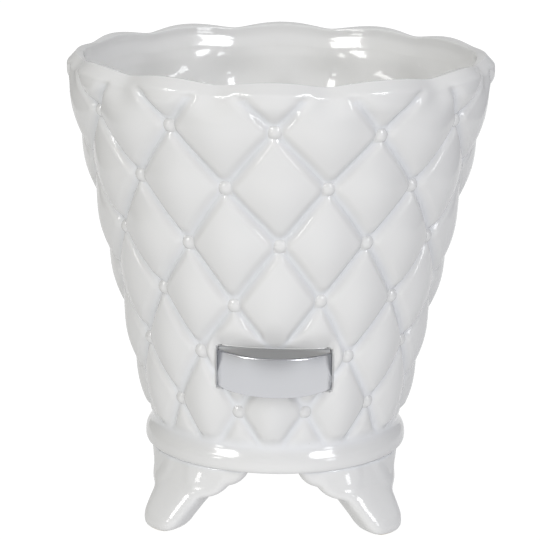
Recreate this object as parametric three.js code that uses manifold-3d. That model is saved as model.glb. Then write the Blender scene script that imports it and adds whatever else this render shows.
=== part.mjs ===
// A footed plant pot with a quilted, buttoned wall, a scalloped rim and a bowed metal nameplate.
// Millimetres, +Z up. The origin is the middle of the four soles, on the surface the pot stands on.
// The front, with the nameplate, faces -Y.

import * as THREE from 'three';
import * as BufferGeometryUtils from 'three/addons/utils/BufferGeometryUtils.js';
import Module from 'manifold-3d';

const wasm = await Module();
wasm.setup();

// Quilted wall
const cushionsAround = 12;
const buttonRows = 6;
const rowPitch = 26.9;
const lowestRowGrooveRadius = 59.5;
const topRowGrooveRadius = 91.3;
const cushionCrown = 7.0;
const cushionFullness = 0.5;
const wallThickness = 6.4;
const innerCushionCrown = 5.4;
const innerCushionFullness = 1.1;

// Buttons moulded where the grooves cross
const buttonRadius = 3.0;
const buttonSink = 0.4;

// Scalloped rim
const rimCrestAboveTopRow = 22.5;
const rimDipDepth = 2.8;
const rimCrestRadius = 100.0;
const rimDipRadius = 93.2;
const rimRoundHeight = 4.2;
const rimRoundOverlap = 9.0;
const rimDipSoftness = 0.12;
const mouthRadius = 89.0;
const mouthBandHeight = 11.0;
const mouthBandBlend = 5.6;

// Base ring and floor
const ringRadius = 62.0;
const ringHeight = 13.6;
const ringFaceHeight = 7.5;
const ringEdgeRound = 2.0;
const ringNeckInset = 3.2;
const neckHeight = 2.0;
const lowestRowAboveRing = 16.5;
const floorThickness = 8.0;
const innerFloorRound = 7.0;

// Feet: a leg under a wing that hangs from the base ring, both flared outwards
const footHeight = 30.2;
const wingInset = 4.2;
const wingThickness = 9.0;
const wingReach = 35.6;
const wingTipDrop = 0.8;
const outerNotch = { along: 25.9, drop: 7.8 };
const innerNotch = { along: 15.5, drop: 13.6 };
const outerLobeSwell = 1.6;
const innerLobeSwell = 1.6;
const wingEdgeRound = 2.4;
const footFlare = 31.9;
const flareCurve = 1.35;
const flareFadeToTips = 1.1;
const toe = { height: 7.0, halfWidth: 12.5, halfDepth: 9.3 };
const toeSetBack = 1.4;
const ankle = { height: 14.0, halfWidth: 16.5, halfDepth: 11.0 };
const legTop = { halfWidth: 18.0, halfDepth: 9.0 };
const sole = { halfWidth: 7.0, halfDepth: 5.5 };
const soleReach = 9.4;

// Nameplate and its recess
const plateWidth = 51.2;
const plateHeight = 16.8;
const plateThickness = 2.2;
const plateBow = 14.0;
const plateLowerArch = 1.3;
const plateBevel = 0.5;
const plateSeatGap = 0.3;
const recessDepth = 7.5;
const recessLipAboveRow = 3.3;
const recessHeight = 21.5;
const recessSideMargin = 1.0;
const recessBumpDraw = 5.1;
const lipToPlate = 2.5;

// Adhesive pads behind the nameplate
const padWidth = 5.5;
const padEndInset = 4.0;
const padEdgeInset = 2.2;
const padGap = 0.3;

// Facets
const facetsPerCushion = 6;
const rowsPerPitch = 3;
const insideRowsPerPitch = 2;
const rimSteps = 6;
const buttonFacets = 6;
const buttonBands = 4;
const footFacets = 20;
const toeRoundSteps = [0, 0.12, 0.45];
const wingStations = 28;
const plateStations = 20;
const padStations = 5;

// Heights and radii that follow from the sizes above
const ringTopZ = footHeight + ringHeight;
const lowestRowZ = ringTopZ + lowestRowAboveRing;
const topRowZ = lowestRowZ + (buttonRows - 1) * rowPitch;
const rimCrestZ = topRowZ + rimCrestAboveTopRow;
const floorZ = footHeight + floorThickness;
const wallTaper = (topRowGrooveRadius - lowestRowGrooveRadius) / (topRowZ - lowestRowZ);
const columns = cushionsAround * facetsPerCushion;
const plateRow = buttonRows - 1;
const plateRowZ = heightOfRow(plateRow);
const recessPlane = grooveRadius(plateRowZ) - recessDepth;
const recessTopZ = plateRowZ + recessLipAboveRow;
const recessBottomZ = recessTopZ - recessHeight;
const recessHalfWidth = plateWidth / 2 + recessSideMargin;
const plateTopZ = recessTopZ - lipToPlate;
const plateBottomZ = plateTopZ - plateHeight;
const plateSeat = recessPlane + plateSeatGap;
const plateRadius = ((plateWidth / 2) ** 2 + plateBow ** 2) / (2 * plateBow);
const plateCentre = plateSeat - (plateRadius - plateBow);
const wingRadius = ringRadius - wingInset;

// The height of a button row, counted from 1 at the top.
function heightOfRow(row) {
  return topRowZ - (row - 1) * rowPitch;
}

// The row count at a height: 1 at the top row, whole at each row.
function rowAtHeight(z) {
  return 1 + (topRowZ - z) / rowPitch;
}

// The radius of the wall at the bottom of its grooves.
function grooveRadius(z) {
  return lowestRowGrooveRadius + wallTaper * (z - lowestRowZ);
}

// How far a cushion stands out of the grooves. The grooves run where u + v / 2 or u - v / 2 is
// whole, with u counted in cushions round the wall and v in rows down from the top row.
function cushionHeight(u, z, crown, fullness) {
  const v = rowAtHeight(z) - 1;
  const across = Math.abs(Math.sin(Math.PI * (u + v / 2)) * Math.sin(Math.PI * (u - v / 2)));
  return crown * across ** fullness;
}

// The rim's scallop: 1 on a crest, which stands over a top button, and 0 in a dip.
function scallop(u) {
  const top = Math.hypot(1, rimDipSoftness) - rimDipSoftness;
  return (Math.hypot(Math.cos(Math.PI * u), rimDipSoftness) - rimDipSoftness) / top;
}

function rimTop(u) {
  return rimCrestZ - rimDipDepth * (1 - scallop(u));
}

function rimRadius(u) {
  return rimDipRadius + (rimCrestRadius - rimDipRadius) * scallop(u);
}

// The outside of the wall, which turns into the rim over the last stretch.
function outerRadius(u, z) {
  const quilted = grooveRadius(z) + cushionHeight(u, z, cushionCrown, cushionFullness);
  const rimStart = rimTop(u) - rimRoundHeight;
  const share = THREE.MathUtils.smoothstep(z, rimStart - rimRoundOverlap, rimStart);
  return quilted + (rimRadius(u) - quilted) * share;
}

// The inside of the wall, a softer copy of the outside.
function innerRadius(u, z) {
  const soft = cushionHeight(u, z, innerCushionCrown, innerCushionFullness);
  return grooveRadius(z) - wallThickness + soft;
}

// A point of the pot from its place round the wall, in cushions from the front, its radius and height.
function wallPoint(u, radius, z) {
  const angle = (2 * Math.PI * u) / cushionsAround;
  return [radius * Math.sin(angle), -radius * Math.cos(angle), z];
}

function geometryFrom(points, triangles) {
  const geometry = new THREE.BufferGeometry();
  geometry.setAttribute('position', new THREE.Float32BufferAttribute(points.flat(), 3));
  geometry.setIndex(triangles.flat());
  return geometry;
}

function solidFrom(geometry) {
  const bare = geometry.clone();
  bare.deleteAttribute('normal');
  bare.deleteAttribute('uv');
  const merged = BufferGeometryUtils.mergeVertices(bare, 1e-4);
  return new wasm.Manifold(new wasm.Mesh({
    numProp: 3,
    vertProperties: new Float32Array(merged.attributes.position.array),
    triVerts: new Uint32Array(merged.index.array),
  }));
}

function geometryOf(solid) {
  const mesh = solid.getMesh();
  const geometry = new THREE.BufferGeometry();
  geometry.setAttribute('position', new THREE.Float32BufferAttribute(mesh.vertProperties, 3));
  geometry.setIndex(Array.from(mesh.triVerts));
  geometry.computeVertexNormals();
  return geometry;
}

// A closed skin over rings of points that share a count, with a fan at each end.
// Each cell is split along the diagonal that lies lower, so that a groove stays on an edge.
function skinOverRings(rings, firstPole, lastPole) {
  const count = rings[0].length;
  const points = [firstPole, ...rings.flat(), lastPole];
  const at = (ring, i) => 1 + ring * count + ((i + count) % count);
  const last = points.length - 1;
  const reach = (index) => Math.hypot(points[index][0], points[index][1]);
  const triangles = [];
  for (let i = 0; i < count; i += 1) {
    triangles.push([0, at(0, i + 1), at(0, i)]);
    triangles.push([last, at(rings.length - 1, i), at(rings.length - 1, i + 1)]);
  }
  for (let ring = 0; ring + 1 < rings.length; ring += 1) {
    for (let i = 0; i < count; i += 1) {
      const [a, b] = [at(ring, i), at(ring, i + 1)];
      const [c, d] = [at(ring + 1, i), at(ring + 1, i + 1)];
      if (reach(a) + reach(d) <= reach(b) + reach(c)) {
        triangles.push([a, b, d], [a, d, c]);
      } else {
        triangles.push([a, b, c], [b, d, c]);
      }
    }
  }
  return geometryFrom(points, triangles);
}

function ringOf(radiusAt, heightAt) {
  const ring = [];
  for (let i = 0; i < columns; i += 1) {
    const u = i / facetsPerCushion;
    ring.push(wallPoint(u, radiusAt(u), heightAt(u)));
  }
  return ring;
}

function plainRing(radius, z) {
  return ringOf(() => radius, () => z);
}

// The base ring's outside, from the underside's edge up to its neck under the cushions.
function baseRings() {
  const round = (angle, radius, z) => plainRing(
    radius - ringEdgeRound * (1 - Math.cos(angle)),
    z + ringEdgeRound * Math.sin(angle),
  );
  const lowCentre = footHeight + ringEdgeRound;
  const highCentre = footHeight + ringFaceHeight;
  return [
    round(-Math.PI / 2, ringRadius, lowCentre),
    round(-Math.PI / 4, ringRadius, lowCentre),
    round(0, ringRadius, lowCentre),
    round(0, ringRadius, highCentre),
    round(Math.PI / 4, ringRadius, highCentre),
    plainRing(ringRadius - ringNeckInset, ringTopZ),
  ];
}

// The quilted outside, from above the base ring's neck to below the rim's round.
function wallRings() {
  const rings = [];
  const step = rowPitch / rowsPerPitch;
  const lowest = Math.floor((lowestRowAboveRing - neckHeight) / step);
  const highest = Math.floor((rimCrestAboveTopRow - rimDipDepth - rimRoundHeight) / step);
  const count = (buttonRows - 1) * rowsPerPitch;
  for (let k = -lowest; k <= count + highest; k += 1) {
    const z = lowestRowZ + k * step;
    rings.push(ringOf((u) => outerRadius(u, z), () => z));
  }
  return rings;
}

// The rim's round, from the outside over the top to the mouth.
function rimRings(lastStep) {
  const rings = [];
  for (let k = 0; k <= lastStep; k += 1) {
    const angle = (Math.PI * k) / rimSteps;
    rings.push(ringOf(
      (u) => (rimRadius(u) + mouthRadius) / 2 + ((rimRadius(u) - mouthRadius) / 2) * Math.cos(angle),
      (u) => rimTop(u) - rimRoundHeight * (1 - Math.sin(angle)),
    ));
  }
  return rings;
}

// The inside, from the smooth band under the mouth down to the floor.
function insideRings() {
  const rings = [ringOf(() => mouthRadius, (u) => rimTop(u) - mouthBandHeight)];
  const step = rowPitch / insideRowsPerPitch;
  const startZ = rimCrestZ - mouthBandHeight - mouthBandBlend;
  const endZ = floorZ + innerFloorRound;
  const count = Math.floor((startZ - endZ) / step);
  for (let k = 0; k <= count; k += 1) {
    const z = startZ - ((startZ - endZ) * k) / count;
    rings.push(ringOf((u) => innerRadius(u, z), () => z));
  }
  const cornerRadius = innerRadius(0, endZ);
  const diagonal = innerFloorRound * (1 - Math.SQRT1_2);
  rings.push(plainRing(cornerRadius - diagonal, floorZ + diagonal));
  rings.push(plainRing(cornerRadius - innerFloorRound, floorZ));
  return rings;
}

// A block with its four long edges drawn in at the back, given by its half width, its two
// heights, how far back and forward it reaches along -Y, and the draw at the back.
function taperedBlock(halfWidth, lowZ, highZ, back, front, draw) {
  const shape = (y, inset) => [
    [-halfWidth + inset, -y, lowZ + inset],
    [halfWidth - inset, -y, lowZ + inset],
    [halfWidth - inset, -y, highZ - inset],
    [-halfWidth + inset, -y, highZ - inset],
  ];
  const points = [...shape(back, draw), ...shape(front, 0)];
  const triangles = [
    [0, 2, 1], [0, 3, 2], [4, 5, 6], [4, 6, 7],
    [0, 1, 5], [0, 5, 4], [1, 2, 6], [1, 6, 5], [2, 3, 7], [2, 7, 6], [3, 0, 4], [3, 4, 7],
  ];
  return solidFrom(geometryFrom(points, triangles));
}

// Whether a button there would reach into the recess.
function reachesRecess(x, y, z) {
  const across = Math.abs(x) < recessHalfWidth + buttonRadius;
  const upright = z > recessBottomZ - buttonRadius && z < recessTopZ + buttonRadius;
  return y < 0 && across && upright;
}

function buttonSolids() {
  const buttons = [];
  for (let row = 1; row <= buttonRows; row += 1) {
    const z = heightOfRow(row);
    for (let k = 0; k < cushionsAround; k += 1) {
      const u = k + ((row - 1) % 2) / 2;
      const [x, y] = wallPoint(u, grooveRadius(z) - buttonSink, z);
      if (reachesRecess(x, y, z)) continue;
      const ball = new THREE.SphereGeometry(buttonRadius, buttonFacets, buttonBands);
      ball.rotateX(Math.PI / 2);
      ball.rotateZ((2 * Math.PI * u) / cushionsAround);
      ball.translate(x, y, z);
      buttons.push(solidFrom(ball));
    }
  }
  return buttons;
}

// The cast body: the shell, a thicker wall behind the recess, the recess itself and the buttons.
function potBody() {
  const underside = [0, 0, footHeight];
  const outside = [...baseRings(), ...wallRings()];
  const overRim = [...rimRings(rimSteps), ...insideRings()];
  const shell = skinOverRings([...outside, ...overRim], underside, [0, 0, floorZ]);
  const filled = skinOverRings([...outside, ...rimRings(rimSteps / 2)], underside, [0, 0, rimCrestZ]);
  const backing = taperedBlock(
    recessHalfWidth + wallThickness,
    recessBottomZ - wallThickness,
    recessTopZ + wallThickness,
    recessPlane - wallThickness,
    recessPlane + recessDepth + wallThickness,
    recessBumpDraw,
  );
  const pocket = taperedBlock(recessHalfWidth, recessBottomZ, recessTopZ, recessPlane, rimCrestRadius, 0);
  let body = solidFrom(shell).add(solidFrom(filled).intersect(backing)).subtract(pocket);
  for (const button of buttonSolids()) body = body.add(button);
  return geometryOf(body);
}

// The middle of a ring of points.
function middleOf(ring) {
  const sum = ring.reduce((total, p) => total.map((value, i) => value + p[i]), [0, 0, 0]);
  return sum.map((value) => value / ring.length);
}

// A solid over rings, closed at its two ends and turned to face out whichever way the rings wind.
function loftOver(rings) {
  const geometry = skinOverRings(rings, middleOf(rings[0]), middleOf(rings[rings.length - 1]));
  const solid = solidFrom(geometry);
  if (solid.volume() > 0) return solid;
  const index = geometry.index.array;
  for (let i = 0; i < index.length; i += 3) [index[i], index[i + 1]] = [index[i + 1], index[i]];
  return solidFrom(geometry);
}

// A foot is drawn on the -Y side, and its width is wrapped round the base ring.
function bend([along, radius, z]) {
  const angle = along / wingRadius;
  return [radius * Math.sin(angle), -radius * Math.cos(angle), z];
}

// How far the foot's face stands out past its top at a height.
function flareAt(z) {
  return footFlare * ((footHeight - z) / footHeight) ** flareCurve;
}

// How far the wing hangs below the base, with two lobes on each side of the leg.
function wingDrop(along) {
  const s = Math.abs(along);
  if (s <= innerNotch.along) return innerNotch.drop;
  const outer = s >= outerNotch.along;
  const from = outer ? outerNotch : innerNotch;
  const to = outer ? { along: wingReach, drop: wingTipDrop } : outerNotch;
  const swell = outer ? outerLobeSwell : innerLobeSwell;
  const t = (s - from.along) / (to.along - from.along);
  return from.drop + (to.drop - from.drop) * t + swell * Math.sin(Math.PI * t);
}

// The wing, lofted along its width, with its lower edges rounded.
function wingSolid() {
  const rings = [];
  for (let k = 0; k <= wingStations; k += 1) {
    const along = wingReach * ((2 * k) / wingStations - 1);
    const bottom = footHeight - wingDrop(along);
    const round = Math.min(wingEdgeRound, wingDrop(along) / 2);
    const fade = 1 - flareFadeToTips * (along / wingReach) ** 2;
    const face = (z) => wingRadius + fade * flareAt(z);
    const inside = (z) => face(z) - wingThickness;
    const middleZ = (footHeight + bottom + round) / 2;
    const diagonal = round * (1 - Math.SQRT1_2);
    const section = [
      [along, inside(footHeight), footHeight],
      [along, inside(middleZ), middleZ],
      [along, inside(bottom + round), bottom + round],
      [along, inside(bottom) + round, bottom],
      [along, face(bottom) - round, bottom],
      [along, face(bottom) - diagonal, bottom + diagonal],
      [along, face(bottom + round), bottom + round],
      [along, face(middleZ), middleZ],
      [along, face(footHeight), footHeight],
    ];
    rings.push(section.map(bend));
  }
  return loftOver(rings);
}

// The leg's half width, half depth and middle radius at a height, between its stations.
function legSection(z) {
  const inFlare = (station, height) => wingRadius + flareAt(height) - station.halfDepth;
  const stations = [
    { ...sole, z: 0, radius: wingRadius + soleReach },
    { ...toe, z: toe.height, radius: inFlare(toe, toe.height) - toeSetBack },
    { ...ankle, z: ankle.height, radius: inFlare(ankle, ankle.height) },
    { ...legTop, z: footHeight, radius: inFlare(legTop, footHeight) },
  ];
  const next = Math.max(1, stations.findIndex((station) => station.z >= z));
  const [low, high] = [stations[next - 1], stations[next]];
  const t = (z - low.z) / (high.z - low.z);
  const mix = (key, share) => low[key] + (high[key] - low[key]) * share;
  const round = next === 1 ? Math.sqrt(t * (2 - t)) : t;
  const onFace = wingRadius + flareAt(z) - mix('halfDepth', t);
  return {
    halfWidth: mix('halfWidth', round),
    halfDepth: mix('halfDepth', round),
    radius: next > 2 ? onFace : mix('radius', t),
  };
}

// The leg, from its flat sole up into the wing.
function legSolid() {
  const between = (low, high, share) => low + (high - low) * share;
  const heights = [
    ...toeRoundSteps.map((share) => share * toe.height),
    ...[0, 0.5].map((share) => between(toe.height, ankle.height, share)),
    ...[0, 0.25, 0.5, 0.75, 1].map((share) => between(ankle.height, footHeight, share)),
  ];
  const rings = heights.map((z) => {
    const { halfWidth, halfDepth, radius } = legSection(z);
    const ring = [];
    for (let i = 0; i < footFacets; i += 1) {
      const angle = (2 * Math.PI * i) / footFacets;
      ring.push([halfWidth * Math.sin(angle), -(radius + halfDepth * Math.cos(angle)), z]);
    }
    return ring;
  });
  return loftOver(rings);
}

function footGeometry() {
  return geometryOf(legSolid().add(wingSolid()));
}

// The plate is a strip bowed forward. Its ends are cut flat, parallel to the recess.
function plateGeometry() {
  const back = plateRadius - plateThickness;
  const cut = plateRadius - plateBow;
  const endAngle = (radius) => Math.acos(cut / radius);
  const rings = [];
  for (let k = 0; k <= plateStations; k += 1) {
    const share = (2 * k) / plateStations - 1;
    const bottom = plateBottomZ - plateLowerArch * (1 - share * share);
    const point = (radius, z) => {
      const angle = share * endAngle(radius);
      return [radius * Math.sin(angle), -(plateCentre + radius * Math.cos(angle)), z];
    };
    rings.push([
      point(back, bottom),
      point(plateRadius - plateBevel, bottom),
      point(plateRadius, bottom + plateBevel),
      point(plateRadius, plateTopZ - plateBevel),
      point(plateRadius - plateBevel, plateTopZ),
      point(back, plateTopZ),
    ]);
  }
  return geometryOf(loftOver(rings));
}

// A pad fills the wedge between the recess and the back of one end of the plate.
function padGeometry(side) {
  const face = plateRadius - plateThickness - padGap;
  const outerX = plateWidth / 2 - padEndInset;
  const rings = [];
  for (let k = 0; k <= padStations; k += 1) {
    const x = outerX - padWidth + (padWidth * k) / padStations;
    const front = plateCentre + Math.sqrt(face * face - x * x);
    rings.push([
      [side * x, -recessPlane, plateBottomZ + padEdgeInset],
      [side * x, -front, plateBottomZ + padEdgeInset],
      [side * x, -front, plateTopZ - padEdgeInset],
      [side * x, -recessPlane, plateTopZ - padEdgeInset],
    ]);
  }
  return geometryOf(loftOver(rings));
}

const glaze = new THREE.MeshStandardMaterial({ name: 'glaze', color: 0xe9eaec, roughness: 0.08, metalness: 0 });
const chrome = new THREE.MeshStandardMaterial({ name: 'chrome', color: 0xb4b5ba, roughness: 0.1, metalness: 1 });
const adhesive = new THREE.MeshStandardMaterial({ name: 'adhesive', color: 0xcfcabd, roughness: 0.6 });

function named(name, geometry, material) {
  const mesh = new THREE.Mesh(geometry, material);
  mesh.name = name;
  return mesh;
}

const pot = new THREE.Group();
pot.name = 'plant_pot';
pot.add(named('pot_body', potBody(), glaze));

const footNames = ['foot_front_right', 'foot_rear_right', 'foot_rear_left', 'foot_front_left'];
const foot = footGeometry();
footNames.forEach((name, k) => {
  const mesh = named(name, foot, glaze);
  mesh.rotation.z = (2 * Math.PI * (k + 0.5)) / footNames.length;
  pot.add(mesh);
});

pot.add(named('nameplate', plateGeometry(), chrome));
pot.add(named('adhesive_pad_left', padGeometry(-1), adhesive));
pot.add(named('adhesive_pad_right', padGeometry(1), adhesive));

export default pot;
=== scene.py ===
"""A footed, quilted plant pot in white glaze, with a bare nameplate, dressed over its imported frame.

Lengths in the pot's own classes are millimetres and become metres when a mesh is written, and the
studio's are metres. Places round the pot are counted in cushions, u, from the front (-Y) towards +X.
"""

import logging
import math
from dataclasses import dataclass, field
from enum import Enum

import bpy
import numpy as np
from mathutils import Matrix, Vector


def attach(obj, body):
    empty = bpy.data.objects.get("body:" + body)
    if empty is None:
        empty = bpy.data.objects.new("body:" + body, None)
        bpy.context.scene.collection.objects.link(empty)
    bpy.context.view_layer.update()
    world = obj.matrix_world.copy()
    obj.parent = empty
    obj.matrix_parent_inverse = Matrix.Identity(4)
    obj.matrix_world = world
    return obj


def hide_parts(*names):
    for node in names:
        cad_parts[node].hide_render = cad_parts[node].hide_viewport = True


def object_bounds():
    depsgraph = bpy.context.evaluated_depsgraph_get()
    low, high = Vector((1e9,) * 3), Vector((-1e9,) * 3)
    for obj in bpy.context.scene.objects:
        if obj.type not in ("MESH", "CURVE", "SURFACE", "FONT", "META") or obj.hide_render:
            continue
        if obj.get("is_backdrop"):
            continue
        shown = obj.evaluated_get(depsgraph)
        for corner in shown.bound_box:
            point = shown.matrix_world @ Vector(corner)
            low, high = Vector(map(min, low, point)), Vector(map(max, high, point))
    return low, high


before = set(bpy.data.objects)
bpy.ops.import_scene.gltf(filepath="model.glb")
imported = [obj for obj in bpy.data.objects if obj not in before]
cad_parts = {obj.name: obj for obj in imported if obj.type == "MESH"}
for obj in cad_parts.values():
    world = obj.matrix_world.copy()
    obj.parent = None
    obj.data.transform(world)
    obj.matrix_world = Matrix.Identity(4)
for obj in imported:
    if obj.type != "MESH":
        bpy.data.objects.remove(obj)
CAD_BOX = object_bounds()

LOG = logging.getLogger("plant_pot")
MM = 0.001
# Marks the inside in the point value "pool"; the glaze there is painted lighter, a painted light standing
# in for light that reaches the inside.
INSIDE_PAINTED_LIGHTER = -1.0
TOUCHING = 1e-6
Array = np.ndarray


def smoothstep(value: Array, low: float, high: float) -> Array:
    """Returns 0 below low, 1 above high and a smooth rise between them."""
    share = np.clip((value - low) / (high - low), 0.0, 1.0)
    return share * share * (3.0 - 2.0 * share)


def soft_min(first: Array, second: Array, blend: float) -> Array:
    """Returns the smaller of two distances, blended over a length where they are close."""
    share = np.clip(0.5 + 0.5 * (second - first) / blend, 0.0, 1.0)
    return second + (first - second) * share - blend * share * (1.0 - share)


def round_off(start: Array, corner: Array, end: Array, share: float) -> Array:
    """Returns points part of the way round a softened corner."""
    return (1 - share) ** 2 * start + 2 * share * (1 - share) * corner + share * share * end


@dataclass
class MeshParts:
    """The points, faces and point values of one mesh while it is put together."""

    points: list[Array] = field(default_factory=list)
    faces: list[tuple[int, ...]] = field(default_factory=list)
    pool: list[Array] = field(default_factory=list)
    count: int = 0

    def add(self, points: Array, pool: Array | float = 0.0) -> Array:
        """Adds points.

        Args:
            points: The points, with x, y and z on the last axis.
            pool: How thickly the glaze pools at each point, from 0 to 1, where it is bluer and painted
                lighter as a painted fill light, or -1 inside the pot, where it is painted lighter as a
                painted light.

        Returns:
            The index of each point, in the shape of the array given.
        """
        shape = points.shape[:-1]
        size = int(np.prod(shape))
        self.points.append(points.reshape(-1, 3))
        self.pool.append(np.broadcast_to(pool, shape).reshape(-1))
        first = self.count
        self.count += size
        return np.arange(first, first + size).reshape(shape)

    def bridge(self, lower: Array, upper: Array, closed: bool = True) -> None:
        """Joins two rows of as many points with quads.

        Args:
            lower: The indices of the first row.
            upper: The indices of the second row, beside the first.
            closed: Whether the last points join the first ones.
        """
        last = len(lower) if closed else len(lower) - 1
        for i in range(last):
            j = (i + 1) % len(lower)
            self.faces.append((int(lower[i]), int(lower[j]), int(upper[j]), int(upper[i])))

    def weave(self, lower: Array, upper: Array, rising: Array, closed: bool = True) -> None:
        """Joins two rows of as many points with pairs of triangles.

        Args:
            lower: The indices of the first row.
            upper: The indices of the second row, above the first.
            rising: Whether each pair's shared edge rises along the row or falls.
            closed: Whether the last points join the first ones.
        """
        last = len(lower) if closed else len(lower) - 1
        for i in range(last):
            j = (i + 1) % len(lower)
            a, b, c, d = int(lower[i]), int(lower[j]), int(upper[j]), int(upper[i])
            self.faces.extend([(a, b, c), (a, c, d)] if rising[i] else [(a, b, d), (b, c, d)])

    def thin(self, row: Array, coarse: Array) -> None:
        """Joins a closed row of points to one with half as many.

        Args:
            row: The indices of the first row.
            coarse: The indices of the second row, one beside every other point of the first.
        """
        for i in range(len(coarse)):
            a, b, c = int(row[2 * i]), int(row[2 * i + 1]), int(row[(2 * i + 2) % len(row)])
            d, e = int(coarse[i]), int(coarse[(i + 1) % len(coarse)])
            self.faces.extend([(a, b, d), (b, c, e, d)])

    def fan(self, ring: Array, pole: int, facing_up: bool) -> None:
        """Closes a ring with triangles to one point.

        Args:
            ring: The indices of the ring.
            pole: The index of the point that closes it.
            facing_up: Whether the triangles run with the ring or against it.
        """
        for i in range(len(ring)):
            a, b = int(ring[i]), int(ring[(i + 1) % len(ring)])
            self.faces.append((a, b, pole) if facing_up else (b, a, pole))

    def build(self, name: str) -> bpy.types.Object:
        """Writes the mesh in metres and links an object that holds it.

        Args:
            name: The name of the object and its mesh.

        Returns:
            The new object, with smooth faces and the point value "pool".
        """
        mesh = bpy.data.meshes.new(name)
        points = np.concatenate(self.points) * MM
        mesh.from_pydata(points.tolist(), [], self.faces)
        mesh.polygons.foreach_set("use_smooth", [True] * len(mesh.polygons))
        values = mesh.attributes.new("pool", "FLOAT", "POINT")
        values.data.foreach_set("value", np.concatenate(self.pool).astype(np.float32))
        mesh.validate()
        mesh.update()
        piece = bpy.data.objects.new(name, mesh)
        bpy.context.scene.collection.objects.link(piece)
        return piece


class Slot(Enum):
    """The record's material slots."""

    GLAZE = "glaze"
    CHROME = "chrome"
    ADHESIVE = "adhesive"


def dress(piece: bpy.types.Object, material: bpy.types.Material, slot: Slot, *nodes: str) -> None:
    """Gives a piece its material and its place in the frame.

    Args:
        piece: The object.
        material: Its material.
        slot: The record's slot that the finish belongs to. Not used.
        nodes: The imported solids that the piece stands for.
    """
    piece.data.materials.append(material)
    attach(piece, "root")
    if nodes:
        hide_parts(*nodes)
    stands_for = ", ".join(nodes) or "the wall"
    LOG.info("%s: %d faces for %s", piece.name, len(piece.data.polygons), stands_for)


@dataclass(frozen=True)
class HandShift:
    """How far the modeller's hand put one crossing of the grooves off the regular lattice."""

    place: float
    z: float
    right: float
    up: float


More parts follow.
